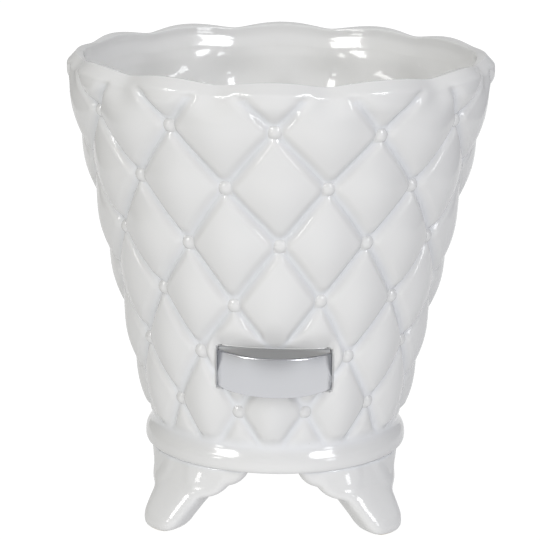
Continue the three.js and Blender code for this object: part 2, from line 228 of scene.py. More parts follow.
@dataclass(frozen=True)
class Quilt:
    """The lattice of cushions and buttons on the wall."""

    around: int = 12
    rows: int = 6
    row_pitch: float = 26.9
    lowest_row_z: float = 60.3
    lowest_groove_radius: float = 59.5
    top_groove_radius: float = 91.3
    shoulder: float = 2.9
    shoulder_reach: float = 3.8
    belly: float = 3.9
    belly_sag: float = 1.25
    belly_fullness: float = 0.72
    valley_half: float = 0.5
    valley_soft: float = 1.2
    pool_full: float = 0.4
    corner_below: float = 6.5
    corner_side: float = 4.8
    corner_above: float = 3.8
    pool_reach: float = 1.2
    shift_reach: float = 13.0
    no_shift: float = 0.06
    same_crossing: tuple[float, float] = (0.01, 1.0)
    crowding: float = 0.5
    drawing_rounds: int = 8
    low_filling: float = 0.42
    filled_z: tuple[float, float] = (62.0, 112.0)
    shifts: tuple[HandShift, ...] = (
        HandShift(-1.5, 213.0, 0.5, 0.0), HandShift(-0.5, 213.0, -2.4, 0.0),
        HandShift(0.5, 213.0, -3.0, 0.0), HandShift(1.5, 213.0, 2.4, 0.0),
        HandShift(-2.0, 194.8, 1.0, 1.0), HandShift(-1.0, 194.8, -0.5, 0.6),
        HandShift(0.0, 194.8, -0.6, 0.3), HandShift(1.0, 194.8, -0.6, -2.8),
        HandShift(2.0, 194.8, -0.7, -1.3), HandShift(-1.5, 167.9, 1.0, 1.8),
        HandShift(-0.5, 167.9, 0.3, 0.6), HandShift(0.5, 167.9, 0.7, 0.8),
        HandShift(1.5, 167.9, -0.5, -1.4), HandShift(-1.0, 141.0, 1.4, -0.1),
        HandShift(0.0, 141.0, 2.2, 1.0), HandShift(1.0, 141.0, 0.7, 0.8),
        HandShift(2.0, 141.0, 0.2, -2.4), HandShift(-1.5, 114.1, 2.1, 2.2),
        HandShift(-0.5, 114.1, 0.8, -1.7), HandShift(0.5, 114.1, 1.6, 1.0),
        HandShift(1.5, 114.1, 1.3, -1.0), HandShift(2.5, 114.1, 1.5, -2.0),
        HandShift(-1.0, 87.2, 0.5, 0.8), HandShift(1.0, 87.2, -0.3, -0.7),
        HandShift(2.0, 87.2, -0.6, 0.9), HandShift(-1.5, 60.3, 0.3, 0.8),
        HandShift(-0.5, 60.3, -0.3, -0.8), HandShift(0.5, 60.3, -1.5, -0.2),
        HandShift(1.5, 60.3, -0.8, 0.7),
    )

    @property
    def top_row_z(self) -> float:
        """The height of the top row of buttons."""
        return self.lowest_row_z + (self.rows - 1) * self.row_pitch

    def row_z(self, row: int) -> float:
        """Returns the height of a row of buttons, counted from 1 at the top."""
        return self.top_row_z - (row - 1) * self.row_pitch

    def groove_radius(self, z: Array) -> Array:
        """Returns the radius of the wall at the bottom of its grooves."""
        rise = self.top_row_z - self.lowest_row_z
        taper = (self.top_groove_radius - self.lowest_groove_radius) / rise
        return self.lowest_groove_radius + taper * (z - self.lowest_row_z)

    def depth(self, z: Array) -> Array:
        """Returns how deep the grooves are, from 1 down to less where the glaze fills them low down."""
        return 1.0 - self.low_filling * (1.0 - smoothstep(z, *self.filled_z))

    def across(self, z: Array) -> Array:
        """Returns the distance along the wall from one button of a row to the next."""
        return 2.0 * math.pi * self.groove_radius(z) / self.around

    def shift_at(self, place: float, z: float) -> tuple[float, float]:
        """Returns how far a crossing lies off its regular place, in cushions and in height."""
        near_place, near_z = self.same_crossing
        for shift in self.shifts:
            if abs(shift.place - place) < near_place and abs(shift.z - z) < near_z:
                return shift.right / float(self.across(np.array(z))), shift.up
        return 0.0, 0.0

    def regular(self, u: Array, z: Array) -> tuple[Array, Array]:
        """Takes the hand's shifts out of places on the wall.

        Args:
            u: Places round the pot, in cushions.
            z: Heights.

        Returns:
            The places and heights on the regular lattice.
        """
        u, z = np.broadcast_arrays(np.asarray(u, dtype=float), np.asarray(z, dtype=float))
        turned = (u + self.around / 2.0) % self.around - self.around / 2.0
        right, up, total = np.zeros(u.shape), np.zeros(u.shape), np.full(u.shape, self.no_shift)
        for shift in self.shifts:
            aside = (turned - shift.place) * self.across(z) - shift.right
            above = z - shift.z - shift.up
            weight = np.exp(-(aside**2 + above**2) / (2.0 * self.shift_reach**2))
            right += weight * shift.right
            up += weight * shift.up
            total += weight
        return u - right / total / self.across(z), z - up / total

    def drawn(self, u: Array, z: Array, crowd: Array) -> tuple[Array, Array]:
        """Puts evenly spaced places on the hand's lattice, closer together beside the grooves.

        Args:
            u: Places round the pot, in cushions.
            z: Heights.
            crowd: How much closer together the places go, from 0 to 1.

        Returns:
            The places and heights on the wall.
        """
        v = (self.top_row_z - z) / self.row_pitch
        a, b = u + v / 2.0, u - v / 2.0
        pull = self.crowding * crowd / (2.0 * math.pi)
        a, b = a - pull * np.sin(2.0 * math.pi * a), b - pull * np.sin(2.0 * math.pi * b)
        goal_u, goal_z = (a + b) / 2.0, self.top_row_z - (a - b) * self.row_pitch
        u, z = goal_u, goal_z
        for _ in range(self.drawing_rounds):
            now_u, now_z = self.regular(u, z)
            u, z = u + goal_u - now_u, z + goal_z - now_z
        return u, z

    def relief(self, u: Array, z: Array) -> tuple[Array, Array, Array]:
        """Works out the cushions.

        Args:
            u: Places round the pot, in cushions.
            z: Heights.

        Returns:
            How far the cushions' rounded edges and their bellies stand out of the grooves, and how
            near each point is to a groove, from 0 on a cushion to 1 in a groove.
        """
        u, z = self.regular(u, z)
        v = (self.top_row_z - z) / self.row_pitch
        a, b = u + v / 2.0, u - v / 2.0
        a, b = a - np.floor(a), b - np.floor(b)
        down = a - b
        upright = 2.0 * self.row_pitch
        width = self.across(z) * upright / np.hypot(self.across(z), upright)
        side_a, side_b = np.minimum(a, 1.0 - a) * width, np.minimum(b, 1.0 - b) * width
        corner = np.where(
            down > 0.0,
            self.corner_side + (self.corner_below - self.corner_side) * down,
            self.corner_side + (self.corner_above - self.corner_side) * -down,
        )
        past_a, past_b = corner - side_a, corner - side_b
        rounded = np.hypot(np.maximum(past_a, 0.0), np.maximum(past_b, 0.0))
        inside = corner - rounded - np.minimum(np.maximum(past_a, past_b), 0.0)
        edge = inside - self.valley_half
        edge = 0.5 * (edge + np.hypot(edge, self.valley_soft))
        rise = 1.0 - (1.0 - np.clip(edge / self.shoulder_reach, 0.0, 1.0)) ** 2
        along_a, along_b = a**self.belly_sag, (1.0 - b) ** self.belly_sag
        bulge = np.sin(math.pi * along_a) * np.sin(math.pi * along_b)
        bulge = np.maximum(bulge, 0.0) ** self.belly_fullness
        pool = np.exp(-((np.maximum(inside - self.pool_full, 0.0) / self.pool_reach) ** 2))
        return self.shoulder * rise, self.belly * bulge * rise, pool


@dataclass(frozen=True)
class Recess:
    """The pocket in the front of the wall that holds the nameplate."""

    half_width: float = 26.2
    low_z: float = 70.6
    high_z: float = 90.5
    plane: float = 58.36
    mouth_depth: float = 1.0
    mouth_lift: float = 3.4
    mouth_bow: tuple[float, float] = (9.0, 1.8)
    mouth_rise: float = 0.9
    mouth_blend: float = 2.0
    mouth_corner_fade: float = 0.6
    mouth_corner_power: int = 4
    mouth_facing: float = 0.3
    slant: float = 1.0
    slant_reach: float = 24.0
    lip_round: float = 0.35
    fillet: float = 0.5
    lip_steps: int = 4
    side_steps: int = 3
    warp_start: float = 1.5
    warp_reach: float = 9.0
    lip_pool: float = 0.2

    @property
    def middle_z(self) -> float:
        """The height of the recess's middle."""
        return (self.low_z + self.high_z) / 2.0

    def above(self, z: Array) -> Array:
        """Returns how far heights lie above or below the recess, less than 0 beside it."""
        return np.maximum(self.low_z - z, z - self.high_z)

    def pressed(self, radius: Array, angle: Array, z: Array) -> Array:
        """Returns wall radii pressed back to the recess's smooth mouth where it is near."""
        ahead = np.maximum(np.cos(angle), self.mouth_facing)
        x = np.sin(angle) * radius
        beside = np.maximum(np.abs(x) - self.half_width, 0.0)
        above = np.maximum(self.above(z), 0.0)
        lower, upper = self.mouth_bow
        bow = lower + (upper - lower) * smoothstep(z, self.low_z, self.high_z)
        bow = bow * np.maximum(1.0 - (x / self.half_width) ** 2, 0.0)
        lift = self.mouth_lift * smoothstep(z, self.middle_z, self.high_z)
        to_corner = np.clip(np.abs(x) / self.half_width, 0.0, 1.0) ** self.mouth_corner_power
        lift = lift * (1.0 - self.mouth_corner_fade * to_corner)
        limit = self.plane + self.mouth_depth + lift + bow + self.mouth_rise * np.hypot(beside, above)
        pressed = soft_min(radius, limit / ahead, self.mouth_blend)
        return np.where(np.cos(angle) > self.mouth_facing, np.minimum(pressed, radius), radius)

    def settled(self, points: Array) -> Array:
        """Returns points with the recess's slight slant, its left end up, fading away from it."""
        near = np.exp(-(((points[..., 2] - self.middle_z) / self.slant_reach) ** 2))
        near = near * smoothstep(-points[..., 1], 0.0, self.plane)
        moved = points.copy()
        moved[..., 2] -= math.tan(math.radians(self.slant)) * points[..., 0] * near
        return moved


@dataclass(frozen=True)
class PotBody:
    """The cast body: base ring, quilted wall, scalloped rim, inside and floor.

    The ring's profile holds radii and heights. The rim's holds shares of the way out from its ridge
    and drops below it, the lip's shares of the way in and of the fall, and the mouth's radii and
    shares of the way down to the plain band's edge. A flat of the rim is a place round the pot and
    the level that the scallops come to there.
    """

    quilt: Quilt = field(default_factory=Quilt)
    recess: Recess = field(default_factory=Recess)
    foot_height: float = 30.2
    floor_z: float = 38.2
    ring_profile: tuple[tuple[float, float], ...] = (
        (22.0, 30.2), (40.0, 30.2), (52.0, 30.2), (59.6, 30.2), (60.6, 30.25), (61.3, 30.5), (61.8, 31.0),
        (62.05, 31.8), (62.13, 32.7), (62.13, 33.6), (62.02, 35.0), (61.8, 36.1), (61.4, 37.05),
        (60.85, 37.95), (60.25, 38.8), (59.7, 39.6), (59.3, 40.4), (59.05, 41.2),
    )
    neck_z: float = 41.8
    neck_radius: float = 58.9
    neck_blend: float = 6.0
    neck_rings: int = 6
    neck_pool: float = 0.8
    ring_pool: float = 0.6
    ring_pool_reach: float = 3.5
    rim_crest_z: float = 216.8
    rim_dip_depth: float = 2.3
    rim_crest_radius: float = 100.0
    rim_dip_radius: float = 96.5
    rim_dip_softness: float = 0.3
    rim_flats: tuple[tuple[float, float], ...] = ((-3.15, 0.5), (3.45, 0.85))
    rim_flat_share: float = 0.75
    rim_flat_reach: float = 0.7
    rim_overlap: float = 11.0
    groove_start: float = 2.5
    groove_full: float = 7.5
    wall_end_gap: float = 1.6
    ridge_crest_radius: float = 95.6
    ridge_dip_radius: float = 92.5
    rim_profile: tuple[tuple[float, float], ...] = (
        (1.0, 5.9), (0.998, 5.3), (0.975, 4.75), (0.92, 4.3), (0.83, 3.8), (0.68, 3.1), (0.52, 2.4),
        (0.36, 1.65), (0.21, 0.95), (0.1, 0.42), (0.03, 0.12), (0.0, 0.0),
    )
    lip_radius: float = 91.1
    lip_slope: float = 0.15
    lip_profile: tuple[tuple[float, float], ...] = (
        (0.1, 0.01), (0.3, 0.12), (0.55, 0.34), (0.78, 0.62), (0.93, 0.86), (1.0, 1.1),
    )
    mouth_radius: float = 88.15
    mouth_profile: tuple[tuple[float, float], ...] = (
        (90.9, 0.06), (90.8, 0.13), (90.75, 0.25), (90.6, 0.38), (90.15, 0.5), (89.6, 0.62),
        (89.05, 0.74), (88.6, 0.86), (88.25, 0.96),
    )
    band_z: float = 206.2
    band_drop: float = 0.5
    band_blend: float = 3.4
    wall_thickness: float = 6.4
    inner_crown: float = 3.6
    inner_fullness: float = 1.1
    inner_top_crown: float = 0.35
    inner_crown_reach: tuple[float, float] = (2.0, 16.0)
    inner_waver: float = 0.5
    inner_levels: int = 88
    bump_radius: float = 51.96
    bump_margin: float = 7.0
    bump_blend: float = 2.0
    bump_facing: float = 0.2
    floor_round: float = 7.0
    floor_round_steps: int = 6
    floor_rings: tuple[float, ...] = (0.75, 0.45, 0.2)
    columns_per_cushion: int = 36
    rows_per_pitch: int = 18
    column_rounds: int = 40
    crowd_from: tuple[float, float] = (48.0, 60.0)
    crowd_to: tuple[float, float] = (194.0, 207.0)
    drawn_from: tuple[float, float] = (2.0, 4.0)
    waver: float = 0.12
    slow_waver: tuple[float, float, float, float] = (3.0, 0.031, 0.047, 1.3)
    quick_waver: tuple[float, float, float, float] = (11.0, -0.09, 0.13, 0.7)
    quick_share: float = 0.6
    waver_sway: float = 2.0

    @property
    def columns(self) -> int:
        """The number of points in a ring of the outside."""
        return self.quilt.around * self.columns_per_cushion

    @property
    def steps(self) -> Array:
        """The columns of the outside, counted from the front."""
        return np.arange(self.columns) - self.columns // 2

    def angle(self, u: Array | float) -> Array | float:
        """Returns the angle round the pot of places counted in cushions."""
        return 2.0 * math.pi * u / self.quilt.around

    def scallop(self, u: Array) -> Array:
        """Returns 1 on the rim's crests, over the top buttons, and 0 in its dips, less at its sides."""
        u, _z = self.quilt.regular(u, np.full(np.shape(u), self.rim_crest_z - self.rim_profile[0][1]))
        softness = self.rim_dip_softness
        top = math.hypot(1.0, softness) - softness
        wave = (np.hypot(np.cos(math.pi * u), softness) - softness) / top
        around = self.quilt.around
        for place, level in self.rim_flats:
            aside = (u - place + around / 2.0) % around - around / 2.0
            near = np.exp(-((aside / self.rim_flat_reach) ** 2))
            wave = wave + (level - wave) * self.rim_flat_share * near
        return wave

    def rim_top(self, u: Array) -> Array:
        """Returns the height of the rim's ridge."""
        return self.rim_crest_z - self.rim_dip_depth * (1.0 - self.scallop(u))

    def ridge_radius(self, u: Array) -> Array:
        """Returns the radius of the rim's ridge."""
        return self.ridge_dip_radius + (self.ridge_crest_radius - self.ridge_dip_radius) * self.scallop(u)

    def rim_radius(self, u: Array) -> Array:
        """Returns the outer radius of the rim."""
        return self.rim_dip_radius + (self.rim_crest_radius - self.rim_dip_radius) * self.scallop(u)

    def unevenness(self, u: Array, z: Array) -> Array:
        """Returns the slight waver that a cast and glazed wall has."""
        angle = self.angle(u)
        turns, twist, rise, start = self.slow_waver
        slow = np.sin(turns * angle + twist * z) * np.sin(rise * z + start)
        turns, twist, rise, start = self.quick_waver
        sway = self.waver_sway * np.sin(self.waver_sway * angle)
        quick = np.sin(turns * angle + twist * z + start) * np.sin(rise * z + sway)
        return self.waver * (slow + self.quick_share * quick)

    def outside(self, u: Array, z: Array) -> tuple[Array, Array]:
        """Works out the outside of the wall, from the neck up to the rim's round.

        Args:
            u: Places round the pot, in cushions.
            z: Heights.

        Returns:
            The radius, and the pooling of the glaze, which also paints it lighter as a painted fill
            light.
        """
        shoulder, belly, pool = self.quilt.relief(u, z)
        neck = smoothstep(z, self.neck_z, self.neck_z + self.neck_blend)
        below = self.rim_top(u) - z
        start = self.rim_profile[0][1]
        near = 1.0 - smoothstep(below, start, start + self.rim_overlap)
        full = smoothstep(below, self.groove_start, self.groove_full)
        radius = self.quilt.groove_radius(z) + belly + self.quilt.shoulder + self.unevenness(u, z)
        radius = radius + (self.rim_radius(u) - radius) * near
        radius = radius + (shoulder - self.quilt.shoulder) * full * self.quilt.depth(z)
        radius = self.neck_radius + (radius - self.neck_radius) * neck
        pool = np.maximum(pool * full, self.neck_pool * (1.0 - neck))
        return self.recess.pressed(radius, self.angle(u), z), pool

    def inside(self, u: Array, z: Array) -> Array:
        """Returns the radius of the inside of the wall."""
        quilt = self.quilt
        v = (quilt.top_row_z - z) / quilt.row_pitch
        across = np.abs(np.sin(math.pi * (u + v / 2.0)) * np.sin(math.pi * (u - v / 2.0)))
        deep = smoothstep(self.band_z - z, *self.inner_crown_reach)
        crown = self.inner_crown * (self.inner_top_crown + (1.0 - self.inner_top_crown) * deep)
        radius = quilt.groove_radius(z) - self.wall_thickness + crown * across**self.inner_fullness
        angle = self.angle(u)
        ahead = np.cos(angle)
        plane = self.bump_radius / np.maximum(ahead, self.bump_facing)
        beside = np.abs(np.sin(angle)) * self.bump_radius - self.recess.half_width
        away = np.maximum(beside, self.recess.above(z)) / self.bump_margin
        bump = np.where(ahead > 0.0, 1.0 - smoothstep(away, 0.0, 1.0), 0.0)
        pressed = soft_min(radius, plane, self.bump_blend)
        return radius + (np.minimum(pressed, radius) - radius) * bump

    def place(self, u: Array, radius: Array, z: Array) -> Array:
        """Returns points from places round the pot, radii and heights."""
        angle = self.angle(u)
        flat = np.broadcast_arrays(radius * np.sin(angle), -radius * np.cos(angle), z)
        return np.stack(flat, axis=-1)

    def column_at(self, x: Array, z: Array) -> Array:
        """Returns the places round the front of the wall whose outside lies at x."""
        turn = 2.0 * math.pi / self.quilt.around
        u = np.arcsin(np.clip(x / self.quilt.groove_radius(z), -1.0, 1.0)) / turn
        for _ in range(self.column_rounds):
            radius, _pool = self.outside(u, z)
            u = 0.5 * (u + np.arcsin(np.clip(x / radius, -1.0, 1.0)) / turn)
        return u

    def wall_heights(self) -> tuple[Array, Array]:
        """Returns the heights of the wall's rings, even ones and ones with two on the recess's border."""
        quilt = self.quilt
        step = quilt.row_pitch / self.rows_per_pitch
        start = self.rim_crest_z - self.rim_dip_depth - self.rim_profile[0][1] - self.wall_end_gap
        first = math.ceil((self.neck_z + self.neck_blend - quilt.lowest_row_z) / step)
        last = math.floor((start - quilt.lowest_row_z) / step)
        upper = quilt.lowest_row_z + step * np.arange(first, last + 1)
        lower = np.linspace(self.neck_z, upper[0], self.neck_rings + 1)[:-1]
        even = np.concatenate([lower, upper])
        heights = even.copy()
        recess = self.recess
        for level in (recess.low_z - recess.lip_round, recess.high_z + recess.lip_round):
            heights[np.argmin(np.abs(heights - level))] = level
        return even, heights

    def wall_places(self, even: Array, heights: Array) -> tuple[Array, Array]:
        """Lays the wall's points along the grooves, and along the recess's border near it.

        Args:
            even: The even heights of the wall's rings.
            heights: The heights with two of them on the recess's border.

        Returns:
            The place round the pot and the height of each point, by ring and column.
        """
        recess = self.recess
        bound_u = self.wall_columns(heights)
        bound_z = np.broadcast_to(heights[:, None], bound_u.shape)
        even_u = np.broadcast_to(self.steps / self.columns_per_cushion, bound_u.shape)
        even_z = np.broadcast_to(even[:, None], bound_u.shape)
        crowd = smoothstep(even_z, *self.crowd_from) * (1.0 - smoothstep(even_z, *self.crowd_to))
        drawn_u, drawn_z = self.quilt.drawn(even_u, even_z, crowd)
        start, full = self.drawn_from
        low = smoothstep(even_z, self.neck_z + start, self.neck_z + self.neck_blend + full)
        angle = self.angle(bound_u)
        beside = np.abs(np.sin(angle)) * recess.plane - recess.half_width
        beside = np.where(np.cos(angle) > 0.0, beside, recess.plane)
        away = np.hypot(np.maximum(beside, 0.0), np.maximum(recess.above(bound_z), 0.0))
        share = smoothstep(away, recess.warp_start, recess.warp_reach) * low
        return bound_u + (drawn_u - bound_u) * share, bound_z + (drawn_z - bound_z) * share

    def border_column(self) -> int:
        """Returns how many columns lie between the front and the recess's side border."""
        recess = self.recess
        middle = np.array([recess.middle_z])
        edge = self.column_at(np.array([recess.half_width + recess.lip_round]), middle)
        return round(float(edge[0]) * self.columns_per_cushion)

    def wall_columns(self, heights: Array) -> Array:
        """Returns the place round the pot of each wall point, drawn to the recess's border."""
        recess = self.recess
        steps = self.steps
        plain = np.broadcast_to(steps / self.columns_per_cushion, (len(heights), self.columns))
        border = self.border_column()
        edge_x = np.full(len(heights), recess.half_width + recess.lip_round)
        edge = self.column_at(edge_x, heights)[:, None]
        shift = edge - border / self.columns_per_cushion
        above = recess.above(heights) - recess.lip_round
        near = 1.0 - smoothstep(above, 0.0, recess.warp_reach)[:, None]
        sideways = (np.abs(steps) - border) * 2.0 * math.pi * recess.plane / self.columns
        fade = 1.0 - smoothstep(np.abs(sideways), 0.0, recess.warp_reach)[None, :]
        return plain + np.sign(steps)[None, :] * shift * near * fade

    def add_ring(self, parts: MeshParts) -> Array:
        """Adds the underside and the base ring.

        Args:
            parts: The mesh so far.

        Returns:
            The indices of the ring's last row, at the neck.
        """
        u = self.steps / self.columns_per_cushion
        pole = self.place(np.zeros(1), np.zeros(1), np.full(1, self.foot_height))
        centre_index = int(parts.add(pole)[0])
        row = None
        for radius, z in self.ring_profile:
            near_neck = smoothstep(np.array(z), self.neck_z - self.ring_pool_reach, self.neck_z)
            points = self.place(u, np.full(self.columns, radius), np.full(self.columns, z))
            ring = parts.add(points, self.ring_pool * float(near_neck))
            if row is None:
                parts.fan(ring, centre_index, False)
            else:
                parts.bridge(row, ring)
            row = ring
        return row

    def recess_span(self, heights: Array) -> tuple[int, int, int, int]:
        """Finds the recess's border among the wall's points.

        Args:
            heights: The heights of the wall's rings.

        Returns:
            The rings at its lower and upper edge, and the columns at its left and right one.
        """
        recess = self.recess
        low = int(np.argmin(np.abs(heights - (recess.low_z - recess.lip_round))))
        high = int(np.argmin(np.abs(heights - (recess.high_z + recess.lip_round))))
        middle, border = self.columns // 2, self.border_column()
        return low, high, middle - border, middle + border

    def add_wall(self, parts: MeshParts, row: Array) -> tuple[Array, Array, Array, Array]:
        """Adds the quilted wall, open at the recess.

        Args:
            parts: The mesh so far.
            row: The indices of the base ring's last row.

        Returns:
            The indices of the wall's points by ring and column, their places round the pot, their
            heights, and the heights of the rings beside the recess.
        """
        even, heights = self.wall_heights()
        u, z = self.wall_places(even, heights)
        radius, pool = self.outside(u, z)
        grid = parts.add(self.place(u, radius, z), pool)
        parts.bridge(row, grid[0])
        low, high, left, right = self.recess_span(heights)
        for level in range(len(heights) - 1):
            rising = self.along_groove((even[level] + even[level + 1]) / 2.0)
            under, over = grid[level], grid[level + 1]
            if low <= level < high:
                parts.weave(under[right:], over[right:], rising[right:], False)
                parts.weave(under[: left + 1], over[: left + 1], rising, False)
                parts.weave(under[[-1, 0]], over[[-1, 0]], rising[-1:], False)
            else:
                parts.weave(under, over, rising)
        return grid, u, z, heights

    def along_groove(self, z: float) -> Array:
        """Returns whether the groove nearest each cell of a row rises along the row."""
        quilt = self.quilt
        u = (self.steps + 0.5) / self.columns_per_cushion
        v = (quilt.top_row_z - z) / quilt.row_pitch
        a, b = u + v / 2.0, u - v / 2.0
        return np.abs(a - np.round(a)) < np.abs(b - np.round(b))

    def recess_rows(self, start: Array) -> list[Array]:
        """Works out the rows of points from the wall down to the recess's back.

        Args:
            start: The wall's points round the recess.

        Returns:
            The rows round the lip, down the sides and round the fillet.
        """
        recess = self.recess
        x = np.clip(start[:, 0], -recess.half_width, recess.half_width)
        z = np.clip(start[:, 2], recess.low_z, recess.high_z)
        radius, _pool = self.outside(self.column_at(x, z), z)
        edge = np.stack([x, -np.sqrt(radius**2 - x**2), z], axis=-1)
        inner = edge + np.array([0.0, recess.lip_round, 0.0])
        rows = []
        for step in range(1, recess.lip_steps + 1):
            rows.append(round_off(start, edge, inner, step / recess.lip_steps))
        foot = inner.copy()
        foot[:, 1] = -recess.plane - recess.fillet
        for step in range(1, recess.side_steps + 1):
            rows.append(inner + (foot - inner) * (step / recess.side_steps))
        towards = np.zeros_like(foot)
        towards[:, 0] = -np.sign(x) * (np.abs(x) > recess.half_width - TOUCHING)
        towards[:, 2] = np.where(z >= recess.high_z - TOUCHING, -1.0, 0.0)
        towards[:, 2] += np.where(z <= recess.low_z + TOUCHING, 1.0, 0.0)
        corner = foot + np.array([0.0, recess.fillet, 0.0])
        back = corner + recess.fillet * towards
        return [*rows, round_off(foot, corner, back, 0.5), back]

    def add_recess(self, parts: MeshParts, grid: Array, heights: Array) -> None:
        """Adds the recess's rounded lip, its sides and its back.

        Args:
            parts: The mesh so far.
            grid: The indices of the wall's points by height and column.
            heights: The heights of the wall's rings.
        """
        low, high, left, right = self.recess_span(heights)
        loop = [(low, k) for k in range(left, right)] + [(j, right) for j in range(low, high)]
        loop += [(high, k) for k in range(right, left, -1)] + [(j, left) for j in range(high, low, -1)]
        levels, columns = np.array(loop).T
        row = grid[levels, columns]
        for number, points in enumerate(self.recess_rows(np.concatenate(parts.points)[row])):
            # The recess's sides and the fillet round its back count as fully pooled, so they are bluer
            # and painted lighter: painted fill light in the recess's shade.
            pool = 1.0 if number > self.recess.lip_steps else self.recess.lip_pool
            current = parts.add(points, pool)
            parts.bridge(current, row)
            row = current
        back = np.zeros((high - low + 1, right - left + 1), dtype=int)
        back[levels - low, columns - left] = row
        self.add_recess_back(parts, back)

    def add_recess_back(self, parts: MeshParts, back: Array) -> None:
        """Adds the recess's flat back.

        Args:
            parts: The mesh so far.
            back: The indices of its points by height and column, as yet only those of its edge.
        """
        recess = self.recess
        half = recess.half_width - recess.fillet
        across = np.linspace(-half, half, back.shape[1])
        upright = np.linspace(recess.low_z + recess.fillet, recess.high_z - recess.fillet, len(back))
        x, z = np.meshgrid(across[1:-1], upright[1:-1])
        back[1:-1, 1:-1] = parts.add(np.stack([x, np.full_like(x, -recess.plane), z], axis=-1))
        for j in range(len(back) - 1):
            parts.bridge(back[j], back[j + 1], False)

    def add_rim(self, parts: MeshParts, row: Array, u: Array, z: Array) -> Array:
        """Adds the rim's outer slope, its ridge and its inner slope.

        Args:
            parts: The mesh so far.
            row: The indices of the wall's last row.
            u: The places round the pot of that row.
            z: The heights of that row.

        Returns:
            The indices of the rim's last row, above the mouth.
        """
        top, ridge, outer = self.rim_top(u), self.ridge_radius(u), self.rim_radius(u)
        between = 0.5 * (z + top - self.rim_profile[0][1])
        radius, pool = self.outside(u, between)
        rings = [(radius, between, pool)]
        for share, drop in self.rim_profile:
            height = top - drop
            shoulder, _belly, _pool = self.quilt.relief(u, height)
            full = float(smoothstep(drop, self.groove_start, self.groove_full))
            cut = (self.quilt.shoulder - shoulder) * full
            rings.append((ridge + (outer - ridge) * share - cut, height, 0.0))
        fall = self.lip_slope * (ridge - self.lip_radius)
        for share, down in self.lip_profile:
            rings.append((ridge + (self.lip_radius - ridge) * share, top - fall * down, 0.0))
        for mouth, down in self.mouth_profile:
            height = top - fall + (self.band_at(u) - top + fall) * down
            rings.append((np.full(len(u), mouth), height, INSIDE_PAINTED_LIGHTER * down))
        for radius, height, pool in rings:
            ring = parts.add(self.place(u, radius, height), pool)
            parts.bridge(row, ring)
            row = ring
        return row

    def band_at(self, u: Array) -> Array:
        """Returns the height of the lower edge of the plain band inside the rim."""
        return self.band_z - self.band_drop * (self.rim_crest_z - self.rim_top(u))

    def add_inside(self, parts: MeshParts, row: Array, u: Array) -> None:
        """Adds the inside, with half as many columns, down to the floor.

        Args:
            parts: The mesh so far.
            row: The indices of the rim's last row.
            u: The places round the pot of that row.
        """
        coarse = u[::2]
        band_z = self.band_at(coarse)
        mouth = np.full(len(coarse), self.mouth_radius)
        rings = [(mouth, band_z)]
        end_z = self.floor_z + self.floor_round
        for level in range(1, self.inner_levels + 1):
            z = band_z + (end_z - band_z) * (level / self.inner_levels)
            blend = smoothstep(band_z - z, 0.0, self.band_blend)
            wanted = self.inside(coarse, z) + self.inner_waver * self.unevenness(coarse, z)
            rings.append((mouth + (wanted - mouth) * blend, z))
        corner = rings[-1][0]
        for step in range(1, self.floor_round_steps + 1):
            turn = math.radians(90.0 * step / self.floor_round_steps)
            radius = corner - self.floor_round * (1.0 - math.cos(turn))
            rings.append((radius, np.full(len(coarse), end_z - self.floor_round * math.sin(turn))))
        for share in self.floor_rings:
            rings.append((corner * share, np.full(len(coarse), self.floor_z)))
        previous = parts.add(self.place(coarse, *rings[0]), INSIDE_PAINTED_LIGHTER)
        parts.thin(row, previous)
        for radius, z in rings[1:]:
            ring = parts.add(self.place(coarse, radius, z), INSIDE_PAINTED_LIGHTER)
            parts.bridge(previous, ring)
            previous = ring
        pole = self.place(np.zeros(1), np.zeros(1), np.full(1, self.floor_z))
        parts.fan(previous, int(parts.add(pole, INSIDE_PAINTED_LIGHTER)[0]), True)

    def build(self) -> bpy.types.Object:
        """Returns the body as one closed mesh."""
        parts = MeshParts()
        row = self.add_ring(parts)
        grid, u, z, heights = self.add_wall(parts, row)
        self.add_recess(parts, grid, heights)
        mouth = self.add_rim(parts, grid[-1], u[-1], z[-1])
        self.add_inside(parts, mouth, u[-1])
        parts.points = [self.recess.settled(points) for points in parts.points]
        return parts.build("glazed_body")


